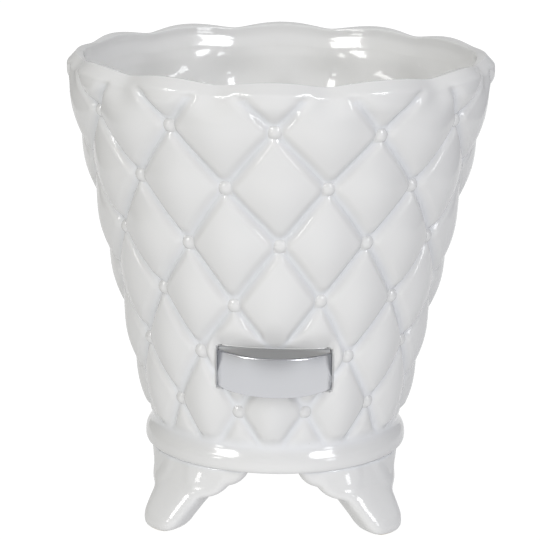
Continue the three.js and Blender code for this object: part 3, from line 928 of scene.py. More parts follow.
@dataclass(frozen=True)
class Buttons:
    """The buttons moulded where the grooves cross."""

    body: PotBody = field(default_factory=PotBody)
    radius: float = 3.45
    sink: float = 0.4
    flattening: float = 0.94
    filled_lift: float = 0.45
    fillet: float = 1.1
    fillet_rise: float = 0.55
    fillet_curves: tuple[float, float] = (1.4, 2.2)
    fillet_sink: float = 0.15
    fillet_pool: float = 0.5
    buried_edge: tuple[float, float] = (1.15, 0.8)
    fillet_rings: int = 4
    rings: int = 9
    facets: int = 24
    size_spread: float = 0.04
    seed: int = 12

    def clears_recess(self, x: float, y: float, z: float) -> bool:
        """Returns whether a button there stays off the recess."""
        recess = self.body.recess
        across = abs(x) < recess.half_width + self.radius
        upright = recess.low_z - self.radius < z < recess.high_z + self.radius
        return not (y < 0.0 and across and upright)

    def places(self) -> list[tuple[float, float]]:
        """Returns the place round the pot and the height of each button."""
        quilt = self.body.quilt
        found = []
        for row in range(1, quilt.rows + 1):
            z = quilt.row_z(row)
            for k in range(quilt.around):
                u = (k + ((row - 1) % 2) / 2.0 + quilt.around / 2.0) % quilt.around - quilt.around / 2.0
                right, up = quilt.shift_at(u, z)
                where = self.body.place(np.array(u), quilt.groove_radius(np.array(z)), np.array(z))
                if self.clears_recess(*(float(value) for value in where)):
                    found.append((u + right, z + up))
        return found

    def levels(self, size: float) -> list[tuple[float, float, float]]:
        """Works out the rings of one button, from its buried edge up to its top.

        Args:
            size: The radius of its dome.

        Returns:
            The radius of each ring, its height over the sunk centre, and its pooling, where the glaze is
            bluer and painted lighter as a painted fill light.
        """
        out_past, in_past = self.buried_edge
        out_curve, up_curve = self.fillet_curves
        start = self.sink + self.fillet * self.fillet_rise
        levels = [(size + self.fillet * out_past, self.sink - in_past, self.fillet_pool)]
        for step in range(self.fillet_rings + 1):
            t = step / self.fillet_rings
            height = self.sink - self.fillet_sink + (start - self.sink + self.fillet_sink) * t**up_curve
            past = self.fillet * (1.0 - t) ** out_curve
            levels.append((size + past, height, self.fillet_pool * (1.0 - t)))
        low = math.asin(start / (size * self.flattening))
        for step in range(self.rings):
            rise = low + (math.pi / 2.0 - low) * (step + 0.5) / (self.rings + 0.5)
            levels.append((size * math.cos(rise), size * self.flattening * math.sin(rise), 0.0))
        return levels

    def add_button(self, parts: MeshParts, u: float, z: float, size: float) -> None:
        """Adds one button.

        Args:
            parts: The mesh so far.
            u: Its place round the pot, in cushions.
            z: Its height.
            size: The radius of its dome.
        """
        angle = self.body.angle(u)
        out = np.array([math.sin(angle), -math.cos(angle), 0.0])
        aside = np.array([math.cos(angle), math.sin(angle), 0.0])
        up = np.array([0.0, 0.0, 1.0])
        quilt = self.body.quilt
        filled = 1.0 - float(quilt.depth(np.array(z)))
        reach = float(quilt.groove_radius(np.array(z))) - self.sink
        reach += self.filled_lift * filled * quilt.shoulder
        centre = out * reach + up * z
        turn = 2.0 * math.pi * np.arange(self.facets) / self.facets
        circle = np.cos(turn)[:, None] * aside + np.sin(turn)[:, None] * up
        previous = None
        for radius, height, pool in self.levels(size):
            current = parts.add(centre + out * height + radius * circle, pool)
            if previous is not None:
                parts.bridge(previous, current)
            previous = current
        top = parts.add((centre + out * size * self.flattening)[None, :])
        parts.fan(previous, int(top[0]), True)

    def build(self) -> bpy.types.Object:
        """Returns all the buttons as one mesh of domes."""
        parts = MeshParts()
        rng = np.random.default_rng(self.seed)
        for u, z in self.places():
            spread = rng.uniform(-self.size_spread, self.size_spread)
            self.add_button(parts, u, z, self.radius * (1.0 + spread))
        return parts.build("wall_buttons")


def surface_of(field_values: Array, origin: Array, step: float) -> tuple[Array, list[tuple[int, ...]]]:
    """Draws the zero surface of a field of distances on a grid, one point to a cell.

    Args:
        field_values: The distances, negative inside, on a grid in x, y and z.
        origin: The place of the grid's first point.
        step: The grid's spacing.

    Returns:
        The points and the quads of the surface.
    """
    inside = field_values < 0.0
    cells = tuple(n - 1 for n in field_values.shape)
    offsets = [(i, j, k) for i in (0, 1) for j in (0, 1) for k in (0, 1)]

    def corner(values: Array, offset: tuple[int, int, int]) -> Array:
        """Returns the grid's values at one corner of every cell."""
        i, j, k = offset
        return values[i:i + cells[0], j:j + cells[1], k:k + cells[2]]

    total = np.zeros((*cells, 3))
    count = np.zeros(cells)
    for first in offsets:
        for axis in range(3):
            if first[axis]:
                continue
            second = tuple(first[n] + (n == axis) for n in range(3))
            start, end = corner(field_values, first), corner(field_values, second)
            crossed = (start < 0.0) != (end < 0.0)
            share = np.where(crossed, start / np.where(crossed, start - end, 1.0), 0.0)
            for n in range(3):
                total[..., n] += crossed * (first[n] + (share if n == axis else 0.0))
            count += crossed
    active = count > 0
    ids = np.full(cells, -1)
    ids[active] = np.arange(int(active.sum()))
    where = np.argwhere(active) + total[active] / count[active][:, None]
    faces = []
    for axis in range(3):
        second, third = (axis + 1) % 3, (axis + 2) % 3
        low = [slice(1, -1)] * 3
        low[axis] = slice(0, -1)
        high = [slice(1, -1)] * 3
        high[axis] = slice(1, None)
        start, end = inside[tuple(low)], inside[tuple(high)]
        for place in np.argwhere(start != end):
            cell = place + 1
            cell[axis] -= 1
            quad = []
            for back in ((1, 1), (0, 1), (0, 0), (1, 0)):
                around = cell.copy()
                around[second] -= back[0]
                around[third] -= back[1]
                quad.append(int(ids[tuple(around)]))
            faces.append(tuple(quad) if start[tuple(place)] else tuple(reversed(quad)))
    return origin + where * step, faces


@dataclass(frozen=True)
class Lobe:
    """A rounded lobe of a foot's wing, as a disc in the wing's face."""

    along: float
    drop: float
    radius: float


@dataclass(frozen=True)
class Feet:
    """The four bracket feet: a flared leg under a wing with two lobes on each side.

    A row of the leg holds a height, the leg's half width and half depth there, and how far the leg
    stands back from the wing's flare. Below the toe, the leg runs in to the sole.
    """

    names: tuple[str, ...] = ("foot_front_right", "foot_rear_right", "foot_rear_left", "foot_front_left")
    height: float = 30.2
    wing_radius: float = 61.4
    wing_thickness: float = 9.0
    wing_edge: float = 3.6
    lobes: tuple[Lobe, ...] = (Lobe(15.7, 1.7, 11.9), Lobe(24.7, -4.0, 11.9))
    lobe_blend: float = 1.3
    flare: float = 28.9
    flare_curve: float = 1.75
    flare_fade: float = 1.1
    wing_reach: float = 35.6
    leg: tuple[tuple[float, float, float, float], ...] = (
        (0.0, 4.0, 4.0, 0.0), (0.6, 6.0, 5.8, 0.0), (2.0, 8.0, 7.6, 0.0), (4.2, 9.4, 8.9, 0.0),
        (7.0, 10.5, 9.6, 3.1), (10.5, 11.9, 10.2, 1.2), (14.0, 13.6, 10.6, 0.35),
        (21.0, 16.2, 9.6, 0.0), (30.2, 17.5, 8.0, 0.0),
    )
    leg_blend: float = 3.0
    leg_squareness: float = 3.3
    sole_reach: float = 10.8
    toe_row: int = 4
    toe_curve: float = 0.8
    tip_set_back: float = 1.6
    overlap: float = 0.3
    crease_pool_reach: float = 1.5
    step: float = 0.75
    grid_reach: float = 40.0
    grid_radii: tuple[float, float] = (42.0, 88.0)
    grid_margin: float = 2.0
    smoothing: int = 14
    smoothing_pushes: tuple[float, float] = (0.5, -0.52)

    def flare_at(self, z: Array) -> Array:
        """Returns how far the foot's face stands out past its top."""
        drop = np.maximum((self.height - z) / self.height, 0.0)
        return self.flare * drop**self.flare_curve

    def leg_distance(self, along: Array, radius: Array, z: Array) -> Array:
        """Returns the distance to the leg, about right near its surface."""
        levels, half_width, half_depth, set_back = np.array(self.leg).T
        centre = self.wing_radius + self.flare_at(levels) - half_depth - set_back
        sole, toe = self.wing_radius + self.sole_reach, self.toe_row
        centre[:toe] = sole + (centre[toe] - sole) * (levels[:toe] / levels[toe]) ** self.toe_curve
        hw = np.interp(z, levels, half_width)
        hd = np.interp(z, levels, half_depth)
        middle = np.interp(z, levels, centre)
        power = self.leg_squareness
        size = (np.abs(along / hw) ** power + np.abs((radius - middle) / hd) ** power) ** (1.0 / power)
        return (size - 1.0) * np.minimum(hw, hd)

    def wing_distance(self, along: Array, radius: Array, z: Array) -> Array:
        """Returns the distance to the wing, with its lobes as soft pillows."""
        fade = 1.0 - self.flare_fade * (along / self.wing_reach) ** 2
        depth = radius - fade * self.flare_at(z) + self.tip_set_back * (along / self.wing_reach) ** 2
        half = self.wing_thickness / 2.0
        through = np.abs(depth - (self.wing_radius - half)) - half + self.wing_edge
        result = None
        for lobe in self.lobes:
            disc = np.hypot(np.abs(along) - lobe.along, self.height - z - lobe.drop) - lobe.radius
            disc = disc + self.wing_edge
            edge = np.hypot(np.maximum(disc, 0.0), np.maximum(through, 0.0))
            pillow = edge + np.minimum(np.maximum(disc, through), 0.0) - self.wing_edge
            result = pillow if result is None else soft_min(result, pillow, self.lobe_blend)
        return result

    def surface(self) -> tuple[Array, list[tuple[int, ...]]]:
        """Returns the points and quads of one foot, drawn on the front."""
        step = self.step
        inner, outer = self.grid_radii
        along = np.arange(-self.grid_reach, self.grid_reach + step, step)
        radius = np.arange(inner, outer + step, step)
        z = np.arange(-self.grid_margin, self.height + self.grid_margin + step, step)
        grid = np.meshgrid(along, radius, z, indexing="ij")
        shape = soft_min(self.leg_distance(*grid), self.wing_distance(*grid), self.leg_blend)
        shape = np.maximum(shape, np.maximum(-grid[2], grid[2] - self.height - self.overlap))
        points, faces = surface_of(shape, np.array([along[0], radius[0], z[0]]), step)
        points = self.smoothed(points, faces)
        angle = points[:, 0] / self.wing_radius
        turned = [points[:, 1] * np.sin(angle), -points[:, 1] * np.cos(angle), points[:, 2]]
        return np.stack(turned, axis=-1), faces

    def smoothed(self, points: Array, faces: list[tuple[int, ...]]) -> Array:
        """Returns the points drawn towards their neighbours and back, with the sole kept level."""
        quads = np.array(faces)
        pairs = np.concatenate([quads[:, [0, 1]], quads[:, [1, 2]], quads[:, [2, 3]], quads[:, [3, 0]]])
        pairs = np.unique(np.sort(pairs, axis=1), axis=0)
        degree = np.bincount(pairs.ravel(), minlength=len(points))[:, None]
        for push in self.smoothing_pushes * self.smoothing:
            total = np.zeros_like(points)
            np.add.at(total, pairs[:, 0], points[pairs[:, 1]])
            np.add.at(total, pairs[:, 1], points[pairs[:, 0]])
            points = points + push * (total / degree - points)
        points[:, 2] = np.clip(points[:, 2], 0.0, self.height + self.overlap)
        return points

    def build(self) -> list[bpy.types.Object]:
        """Returns the four feet."""
        points, faces = self.surface()
        # The crease under the ring counts as pooled, where the glaze is bluer and painted lighter as a
        # painted fill light.
        near_top = smoothstep(points[:, 2], self.height - self.crease_pool_reach, self.height)
        made = []
        for k, name in enumerate(self.names):
            turn = 2.0 * math.pi * (k + 0.5) / len(self.names)
            spin = np.array(Matrix.Rotation(turn, 3, "Z"))
            parts = MeshParts(faces=list(faces))
            parts.add(points @ spin.T, near_top)
            made.append(parts.build(f"glazed_{name}"))
        return made


@dataclass(frozen=True)
class Nameplate:
    """A bare strip of plated metal, bowed forward, with bevelled edges."""

    width: float = 52.2
    height: float = 16.8
    thickness: float = 2.2
    bow: float = 14.0
    lower_arch: float = 1.3
    edge_round: float = 0.55
    seat: float = 58.66
    top_z: float = 88.0
    stations: int = 120
    corner_steps: int = 5
    recess: Recess = field(default_factory=Recess)

    @property
    def radius(self) -> float:
        """The radius of the bowed face."""
        return ((self.width / 2.0) ** 2 + self.bow**2) / (2.0 * self.bow)

    @property
    def centre(self) -> float:
        """How far in front of the pot's axis the bow's centre lies."""
        return self.seat - (self.radius - self.bow)

    def section(self, bottom: float) -> list[tuple[float, float]]:
        """Returns the rounded outline of the strip as radii and heights."""
        back, face, r = self.radius - self.thickness, self.radius, self.edge_round
        corners = [
            (back + r, bottom + r, 180.0), (face - r, bottom + r, 270.0),
            (face - r, self.top_z - r, 0.0), (back + r, self.top_z - r, 90.0),
        ]
        outline = []
        for middle, z, start in corners:
            for step in range(self.corner_steps + 1):
                angle = math.radians(start + 90.0 * step / self.corner_steps)
                outline.append((middle + r * math.cos(angle), z + r * math.sin(angle)))
        return outline

    def build(self) -> bpy.types.Object:
        """Returns the strip, with its ends cut parallel to the recess."""
        parts = MeshParts()
        cut = self.radius - self.bow
        previous = None
        ends = []
        for k in range(self.stations + 1):
            share = 2.0 * k / self.stations - 1.0
            bottom = self.top_z - self.height - self.lower_arch * (1.0 - share * share)
            ring = []
            for radius, z in self.section(bottom):
                angle = share * math.acos(cut / radius)
                ring.append((radius * math.sin(angle), -(self.centre + radius * math.cos(angle)), z))
            current = parts.add(self.recess.settled(np.array(ring)))
            if previous is not None:
                parts.bridge(current, previous)
            else:
                ends.append(tuple(int(i) for i in current))
            previous = current
        ends.append(tuple(int(i) for i in reversed(previous)))
        parts.faces.extend(ends)
        return parts.build("bowed_nameplate")


class Side(Enum):
    """The two ends of the nameplate, by the sign of x."""

    LEFT = -1
    RIGHT = 1


@dataclass(frozen=True)
class AdhesivePads:
    """The set adhesive between the recess and the back of the plate's ends."""

    plate: Nameplate = field(default_factory=Nameplate)
    width: float = 5.5
    end_inset: float = 4.0
    edge_inset: float = 2.2
    gap: float = 0.3
    swell: float = 0.35
    wobble: float = 0.25
    wobble_turns: tuple[float, float] = (5.0, 7.0)
    shrinkage: float = 0.6
    steps: int = 14
    facets: int = 24

    def section(self, share: float, side: Side) -> Array:
        """Returns the points round a pad, from a share of 0 at its inner end to 1 at its outer end."""
        plate = self.plate
        face = plate.radius - plate.thickness - self.gap
        outer = plate.width / 2.0 - self.end_inset
        low = plate.top_z - plate.height + self.edge_inset
        high = plate.top_z - self.edge_inset
        x = outer - self.width + self.width * share
        back = plate.recess.plane
        front = plate.centre + math.sqrt(face * face - x * x)
        swell = self.swell * math.sin(math.pi * share)
        turns, drift = self.wobble_turns
        points = []
        for j in range(self.facets):
            angle = 2.0 * math.pi * (j + 0.5) / self.facets
            corner = max(abs(math.cos(angle)), abs(math.sin(angle)))
            y, z = 0.5 * math.cos(angle) / corner, 0.5 * math.sin(angle) / corner
            wobble = self.wobble * math.sin(turns * angle + drift * share)
            tall = high - low + swell + wobble - self.shrinkage
            depth = back + (front - back) * (y + 0.5)
            points.append((side.value * x, -depth, (low + high) / 2.0 + tall * z))
        return plate.recess.settled(np.array(points))

    def build(self, side: Side) -> bpy.types.Object:
        """Builds one pad.

        Args:
            side: The end of the plate that it holds.

        Returns:
            The pad, lumpy on its open sides.
        """
        parts = MeshParts()
        rings = [parts.add(self.section(k / self.steps, side)) for k in range(self.steps + 1)]
        forward = side is Side.RIGHT
        for ring, following in zip(rings, rings[1:], strict=False):
            parts.bridge(*((ring, following) if forward else (following, ring)))
        for end in (rings[-1], rings[0][::-1]):
            parts.faces.append(tuple(int(i) for i in (end if forward else end[::-1])))
        return parts.build(f"set_adhesive_{side.name.lower()}")


class NodeSheet:
    """A short way to add and link the nodes of one node tree."""

    def __init__(self, tree: bpy.types.NodeTree) -> None:
        """Keeps the tree and empties it."""
        self.tree = tree
        self.tree.nodes.clear()

    def add(self, kind: str, **settings: object) -> bpy.types.Node:
        """Adds a node.

        Args:
            kind: The node's type.
            settings: Its own properties.

        Returns:
            The node.
        """
        node = self.tree.nodes.new(kind)
        for key, value in settings.items():
            setattr(node, key, value)
        return node

    def link(self, source: bpy.types.NodeSocket, target: bpy.types.NodeSocket) -> None:
        """Links two sockets."""
        self.tree.links.new(source, target)

    def math(self, operation: str, *inputs: bpy.types.NodeSocket | float) -> bpy.types.NodeSocket:
        """Adds a Math node.

        Args:
            operation: What it works out.
            inputs: Its inputs, each a socket or a number.

        Returns:
            Its output.
        """
        node = self.add("ShaderNodeMath", operation=operation)
        for target, value in zip(node.inputs, inputs, strict=False):
            if isinstance(value, (int, float)):
                target.default_value = value
            else:
                self.link(value, target)
        return node.outputs[0]

    def clamped(self, value: bpy.types.NodeSocket) -> bpy.types.NodeSocket:
        """Returns a value kept between 0 and 1."""
        return self.math("MINIMUM", self.math("MAXIMUM", value, 0.0), 1.0)

    def past(self, value: bpy.types.NodeSocket, level: float, times: float) -> bpy.types.NodeSocket:
        """Returns how far a value is past a level, times a factor."""
        return self.math("MULTIPLY", self.math("SUBTRACT", value, level), times)

    def mix(
        self,
        share: bpy.types.NodeSocket | float,
        first: bpy.types.NodeSocket | tuple[float, float, float],
        second: bpy.types.NodeSocket | tuple[float, float, float],
    ) -> bpy.types.NodeSocket:
        """Adds a colour mix.

        Args:
            share: How much of the second colour there is.
            first: The first colour.
            second: The second colour.

        Returns:
            The mixed colour.
        """
        node = self.add("ShaderNodeMix", data_type="RGBA")
        for target, value in ((node.inputs[0], share), (node.inputs[6], first), (node.inputs[7], second)):
            if isinstance(value, tuple):
                target.default_value = (*value, 1.0)
            elif isinstance(value, (int, float)):
                target.default_value = value
            else:
                self.link(value, target)
        return node.outputs[2]


class EffectGroups:
    """The node groups that more than one finish uses, each built once, with sizes in millimetres."""

    ripple_fineness = 4.2
    speck_edge = 0.5

    def __init__(self) -> None:
        """Starts with no group built."""
        self.built: dict[str, bpy.types.NodeTree] = {}

    def start(
        self, name: str, inputs: dict[str, tuple[str, float]], outputs: dict[str, str]
    ) -> tuple[NodeSheet, bpy.types.Node, bpy.types.Node]:
        """Starts a group.

        Args:
            name: The group's name.
            inputs: The kind and default of each input.
            outputs: The kind of each output.

        Returns:
            The sheet, the group's input node and its output node.
        """
        tree = bpy.data.node_groups.new(name, "ShaderNodeTree")
        for key, (kind, value) in inputs.items():
            tree.interface.new_socket(key, in_out="INPUT", socket_type=kind).default_value = value
        for key, kind in outputs.items():
            tree.interface.new_socket(key, in_out="OUTPUT", socket_type=kind)
        sheet = NodeSheet(tree)
        self.built[name] = tree
        return sheet, sheet.add("NodeGroupInput"), sheet.add("NodeGroupOutput")

    def ripple(self) -> bpy.types.NodeTree:
        """Returns the group for the slow ripple of a poured or polished surface."""
        if "surface_ripple" in self.built:
            return self.built["surface_ripple"]
        inputs = {"Size": ("NodeSocketFloat", 12.0), "Fine Share": ("NodeSocketFloat", 0.2)}
        sheet, given, result = self.start("surface_ripple", inputs, {"Height": "NodeSocketFloat"})
        place = sheet.add("ShaderNodeTexCoord").outputs["Object"]
        broad = sheet.add("ShaderNodeTexNoise")
        fine = sheet.add("ShaderNodeTexNoise")
        for node, fineness in ((broad, 1.0), (fine, self.ripple_fineness)):
            sheet.link(place, node.inputs["Vector"])
            sheet.link(sheet.math("DIVIDE", fineness / MM, given.outputs["Size"]), node.inputs["Scale"])
            node.inputs["Detail"].default_value = 1.0
        part = sheet.math("MULTIPLY", fine.outputs["Fac"], given.outputs["Fine Share"])
        sheet.link(sheet.math("ADD", broad.outputs["Fac"], part), result.inputs["Height"])
        return self.built["surface_ripple"]

    def specks(self) -> bpy.types.NodeTree:
        """Returns the group for sparse small specks, as pinholes or dust."""
        if "sparse_specks" in self.built:
            return self.built["sparse_specks"]
        inputs = {
            "Spacing": ("NodeSocketFloat", 9.0),
            "Speck Size": ("NodeSocketFloat", 0.3),
            "Amount": ("NodeSocketFloat", 0.2),
        }
        sheet, given, result = self.start("sparse_specks", inputs, {"Mask": "NodeSocketFloat"})
        place = sheet.add("ShaderNodeTexCoord").outputs["Object"]
        cells = sheet.add("ShaderNodeTexVoronoi")
        sheet.link(place, cells.inputs["Vector"])
        sheet.link(sheet.math("DIVIDE", 1.0 / MM, given.outputs["Spacing"]), cells.inputs["Scale"])
        size = sheet.math("DIVIDE", given.outputs["Speck Size"], given.outputs["Spacing"])
        near = sheet.math("SUBTRACT", size, cells.outputs["Distance"])
        near = sheet.clamped(sheet.math("DIVIDE", near, sheet.math("MULTIPLY", size, self.speck_edge)))
        split = sheet.add("ShaderNodeSeparateColor")
        sheet.link(cells.outputs["Color"], split.inputs["Color"])
        chosen = sheet.math("LESS_THAN", split.outputs["Red"], given.outputs["Amount"])
        sheet.link(sheet.math("MULTIPLY", near, chosen), result.inputs["Mask"])
        return self.built["sparse_specks"]


def place_group(sheet: NodeSheet, tree: bpy.types.NodeTree, **values: float) -> bpy.types.Node:
    """Places an effect group in a material.

    Args:
        sheet: The material's sheet.
        tree: The group.
        values: The group's inputs, with underscores for spaces.

    Returns:
        The group's node.
    """
    node = sheet.add("ShaderNodeGroup", node_tree=tree)
    for key, value in values.items():
        node.inputs[key.replace("_", " ")].default_value = value
    return node


@dataclass(frozen=True)
class Finish:
    """What the finishes share: a name, a Principled shader to feed, and the height of their bumps."""

    name: str
    bump_strength: float = 0.35
    bump_height: float = 0.3

    def begin(self) -> tuple[bpy.types.Material, NodeSheet, bpy.types.Node]:
        """Returns a new material, its sheet and its shader."""
        material = bpy.data.materials.new(self.name)
        material.use_nodes = True
        sheet = NodeSheet(material.node_tree)
        shader = sheet.add("ShaderNodeBsdfPrincipled")
        output = sheet.add("ShaderNodeOutputMaterial")
        sheet.link(shader.outputs["BSDF"], output.inputs["Surface"])
        return material, sheet, shader

    def bump(self, sheet: NodeSheet, shader: bpy.types.Node, height: bpy.types.NodeSocket) -> None:
        """Makes a surface uneven.

        Args:
            sheet: The material's sheet.
            shader: Its shader.
            height: The height of the bumps, from 0 to 1.
        """
        bump = sheet.add("ShaderNodeBump")
        bump.inputs["Strength"].default_value = self.bump_strength
        bump.inputs["Distance"].default_value = self.bump_height * MM
        sheet.link(height, bump.inputs["Height"])
        sheet.link(bump.outputs["Normal"], shader.inputs["Normal"])


@dataclass(frozen=True)
class Glaze(Finish):
    """White glaze over a cast body, bare on the soles; where it pools it is bluer and also painted
    lighter, a painted fill light against the shade in grooves, creases and the recess, and the inside is
    painted lighter, a painted light for light that reaches it.
    """

    body_colour: tuple[float, float, float] = (0.80, 0.80, 0.795)
    pool_and_fill_light_colour: tuple[float, float, float] = (0.83, 0.845, 0.87)
    painted_light_inside_colour: tuple[float, float, float] = (0.865, 0.865, 0.855)
    bare_colour: tuple[float, float, float] = (0.72, 0.64, 0.50)
    speck_colour: tuple[float, float, float] = (0.20, 0.17, 0.14)
    cloud_scale: float = 28.0
    cloud_level: float = 0.4
    cloud_share: float = 0.25
    pool_share: float = 0.75
    speck_share: float = 0.8
    bare_height: float = 0.9
    bare_waver: float = 1.6
    bare_edge: float = 0.5
    roughness: float = 0.07
    bare_roughness: float = 0.5
    refraction: float = 1.5

    def bare_mask(
        self, sheet: NodeSheet, place: bpy.types.NodeSocket, cloud: bpy.types.NodeSocket
    ) -> bpy.types.NodeSocket:
        """Marks the soles, where the glaze was wiped off.

        Args:
            sheet: The material's sheet.
            place: The place on the object.
            cloud: The slow noise that makes the edge uneven.

        Returns:
            The mask, 1 where the body is bare.
        """
        split = sheet.add("ShaderNodeSeparateXYZ")
        sheet.link(place, split.inputs["Vector"])
        level = sheet.math("ADD", split.outputs["Z"], sheet.past(cloud, 0.5, self.bare_waver * MM))
        low = sheet.math("SUBTRACT", self.bare_height * MM, level)
        return sheet.clamped(sheet.math("DIVIDE", low, self.bare_edge * MM))

    def material(self, effects: EffectGroups) -> bpy.types.Material:
        """Returns the glaze as a material."""
        material, sheet, shader = self.begin()
        pool_and_inside_light = sheet.add("ShaderNodeAttribute", attribute_name="pool").outputs["Fac"]
        place = sheet.add("ShaderNodeTexCoord").outputs["Object"]
        cloud = sheet.add("ShaderNodeTexNoise")
        cloud.inputs["Scale"].default_value = self.cloud_scale
        sheet.link(place, cloud.inputs["Vector"])
        # Where the glaze pools it is bluer and painted lighter: painted fill light against the shade in
        # the grooves and creases.
        share = sheet.math("MULTIPLY", sheet.math("MAXIMUM", pool_and_inside_light, 0.0), self.pool_share)
        clouded = sheet.past(cloud.outputs["Fac"], self.cloud_level, self.cloud_share)
        share = sheet.clamped(sheet.math("ADD", share, clouded))
        # Painted light: the inside is painted a lighter colour, standing in for light that reaches it.
        inner = sheet.math("MAXIMUM", sheet.math("DIVIDE", pool_and_inside_light, INSIDE_PAINTED_LIGHTER), 0.0)
        colour = sheet.mix(share, sheet.mix(inner, self.body_colour, self.painted_light_inside_colour), self.pool_and_fill_light_colour)
        specks = place_group(sheet, effects.specks(), Spacing=16.0, Speck_Size=0.36, Amount=0.09)
        speck = sheet.math("MULTIPLY", specks.outputs["Mask"], self.speck_share)
        bare = self.bare_mask(sheet, place, cloud.outputs["Fac"])
        colour = sheet.mix(bare, sheet.mix(speck, colour, self.speck_colour), self.bare_colour)
        sheet.link(colour, shader.inputs["Base Color"])
        rough = sheet.math("ADD", sheet.math("MULTIPLY", bare, self.bare_roughness), self.roughness)
        sheet.link(rough, shader.inputs["Roughness"])
        shader.inputs["IOR"].default_value = self.refraction
        ripple = place_group(sheet, effects.ripple(), Size=9.0, Fine_Share=0.12)
        self.bump(sheet, shader, ripple.outputs["Height"])
        return material


@dataclass(frozen=True)
class Chrome(Finish):
    """Bright plated metal with a slight ripple and hairline wear."""

    colour: tuple[float, float, float] = (0.695, 0.703, 0.73)
    worn_colour: tuple[float, float, float] = (0.64, 0.648, 0.675)
    line_scale: tuple[float, float, float] = (60.0, 60.0, 2600.0)
    line_detail: float = 4.0
    wear_level: float = 0.35
    wear_share: float = 0.4
    speck_share: float = 0.4
    roughness: float = 0.22
    worn_roughness: float = 0.06
    bump_strength: float = 0.12
    bump_height: float = 0.2

    def wear_mask(self, sheet: NodeSheet) -> bpy.types.NodeSocket:
        """Returns how worn the plating is, in fine lines along the plate."""
        place = sheet.add("ShaderNodeTexCoord").outputs["Object"]
        stretch = sheet.add("ShaderNodeMapping")
        stretch.inputs["Scale"].default_value = self.line_scale
        sheet.link(place, stretch.inputs["Vector"])
        lines = sheet.add("ShaderNodeTexNoise")
        lines.inputs["Scale"].default_value = 1.0
        lines.inputs["Detail"].default_value = self.line_detail
        sheet.link(stretch.outputs["Vector"], lines.inputs["Vector"])
        return sheet.clamped(sheet.past(lines.outputs["Fac"], self.wear_level, self.wear_share))

    def material(self, effects: EffectGroups) -> bpy.types.Material:
        """Returns the plating as a material."""
        material, sheet, shader = self.begin()
        shader.inputs["Metallic"].default_value = 1.0
        wear = self.wear_mask(sheet)
        specks = place_group(sheet, effects.specks(), Spacing=4.0, Speck_Size=0.2, Amount=0.12)
        speck = sheet.math("MULTIPLY", specks.outputs["Mask"], self.speck_share)
        colour = sheet.mix(wear, self.colour, self.worn_colour)
        sheet.link(sheet.mix(speck, colour, self.worn_colour), shader.inputs["Base Color"])
        rough = sheet.math("ADD", sheet.math("MULTIPLY", wear, self.worn_roughness), self.roughness)
        sheet.link(rough, shader.inputs["Roughness"])
        ripple = place_group(sheet, effects.ripple(), Size=14.0, Fine_Share=0.05)
        self.bump(sheet, shader, ripple.outputs["Height"])
        return material


@dataclass(frozen=True)
class SetAdhesive(Finish):
    """Off-white adhesive, set and slightly grubby."""

    colour: tuple[float, float, float] = (0.60, 0.57, 0.50)
    grubby_colour: tuple[float, float, float] = (0.42, 0.38, 0.31)
    grubby_level: float = 0.45
    grubby_share: float = 2.0
    roughness: float = 0.55
    bump_strength: float = 0.5
    bump_height: float = 0.4

    def material(self, effects: EffectGroups) -> bpy.types.Material:
        """Returns the adhesive as a material."""
        material, sheet, shader = self.begin()
        ripple = place_group(sheet, effects.ripple(), Size=2.0, Fine_Share=0.5).outputs["Height"]
        share = sheet.clamped(sheet.past(ripple, self.grubby_level, self.grubby_share))
        sheet.link(sheet.mix(share, self.colour, self.grubby_colour), shader.inputs["Base Color"])
        shader.inputs["Roughness"].default_value = self.roughness
        self.bump(sheet, shader, ripple)
        return material


@dataclass(frozen=True)
class SoftBox:
    """A soft studio lamp, or one that only gloss or only the glaze's body shows."""

    name: str
    around: float
    above: float
    distance: float
    width: float
    height: float
    power: float
    colour: tuple[float, float, float]
    diffuse: bool = True
    glossy: bool = True


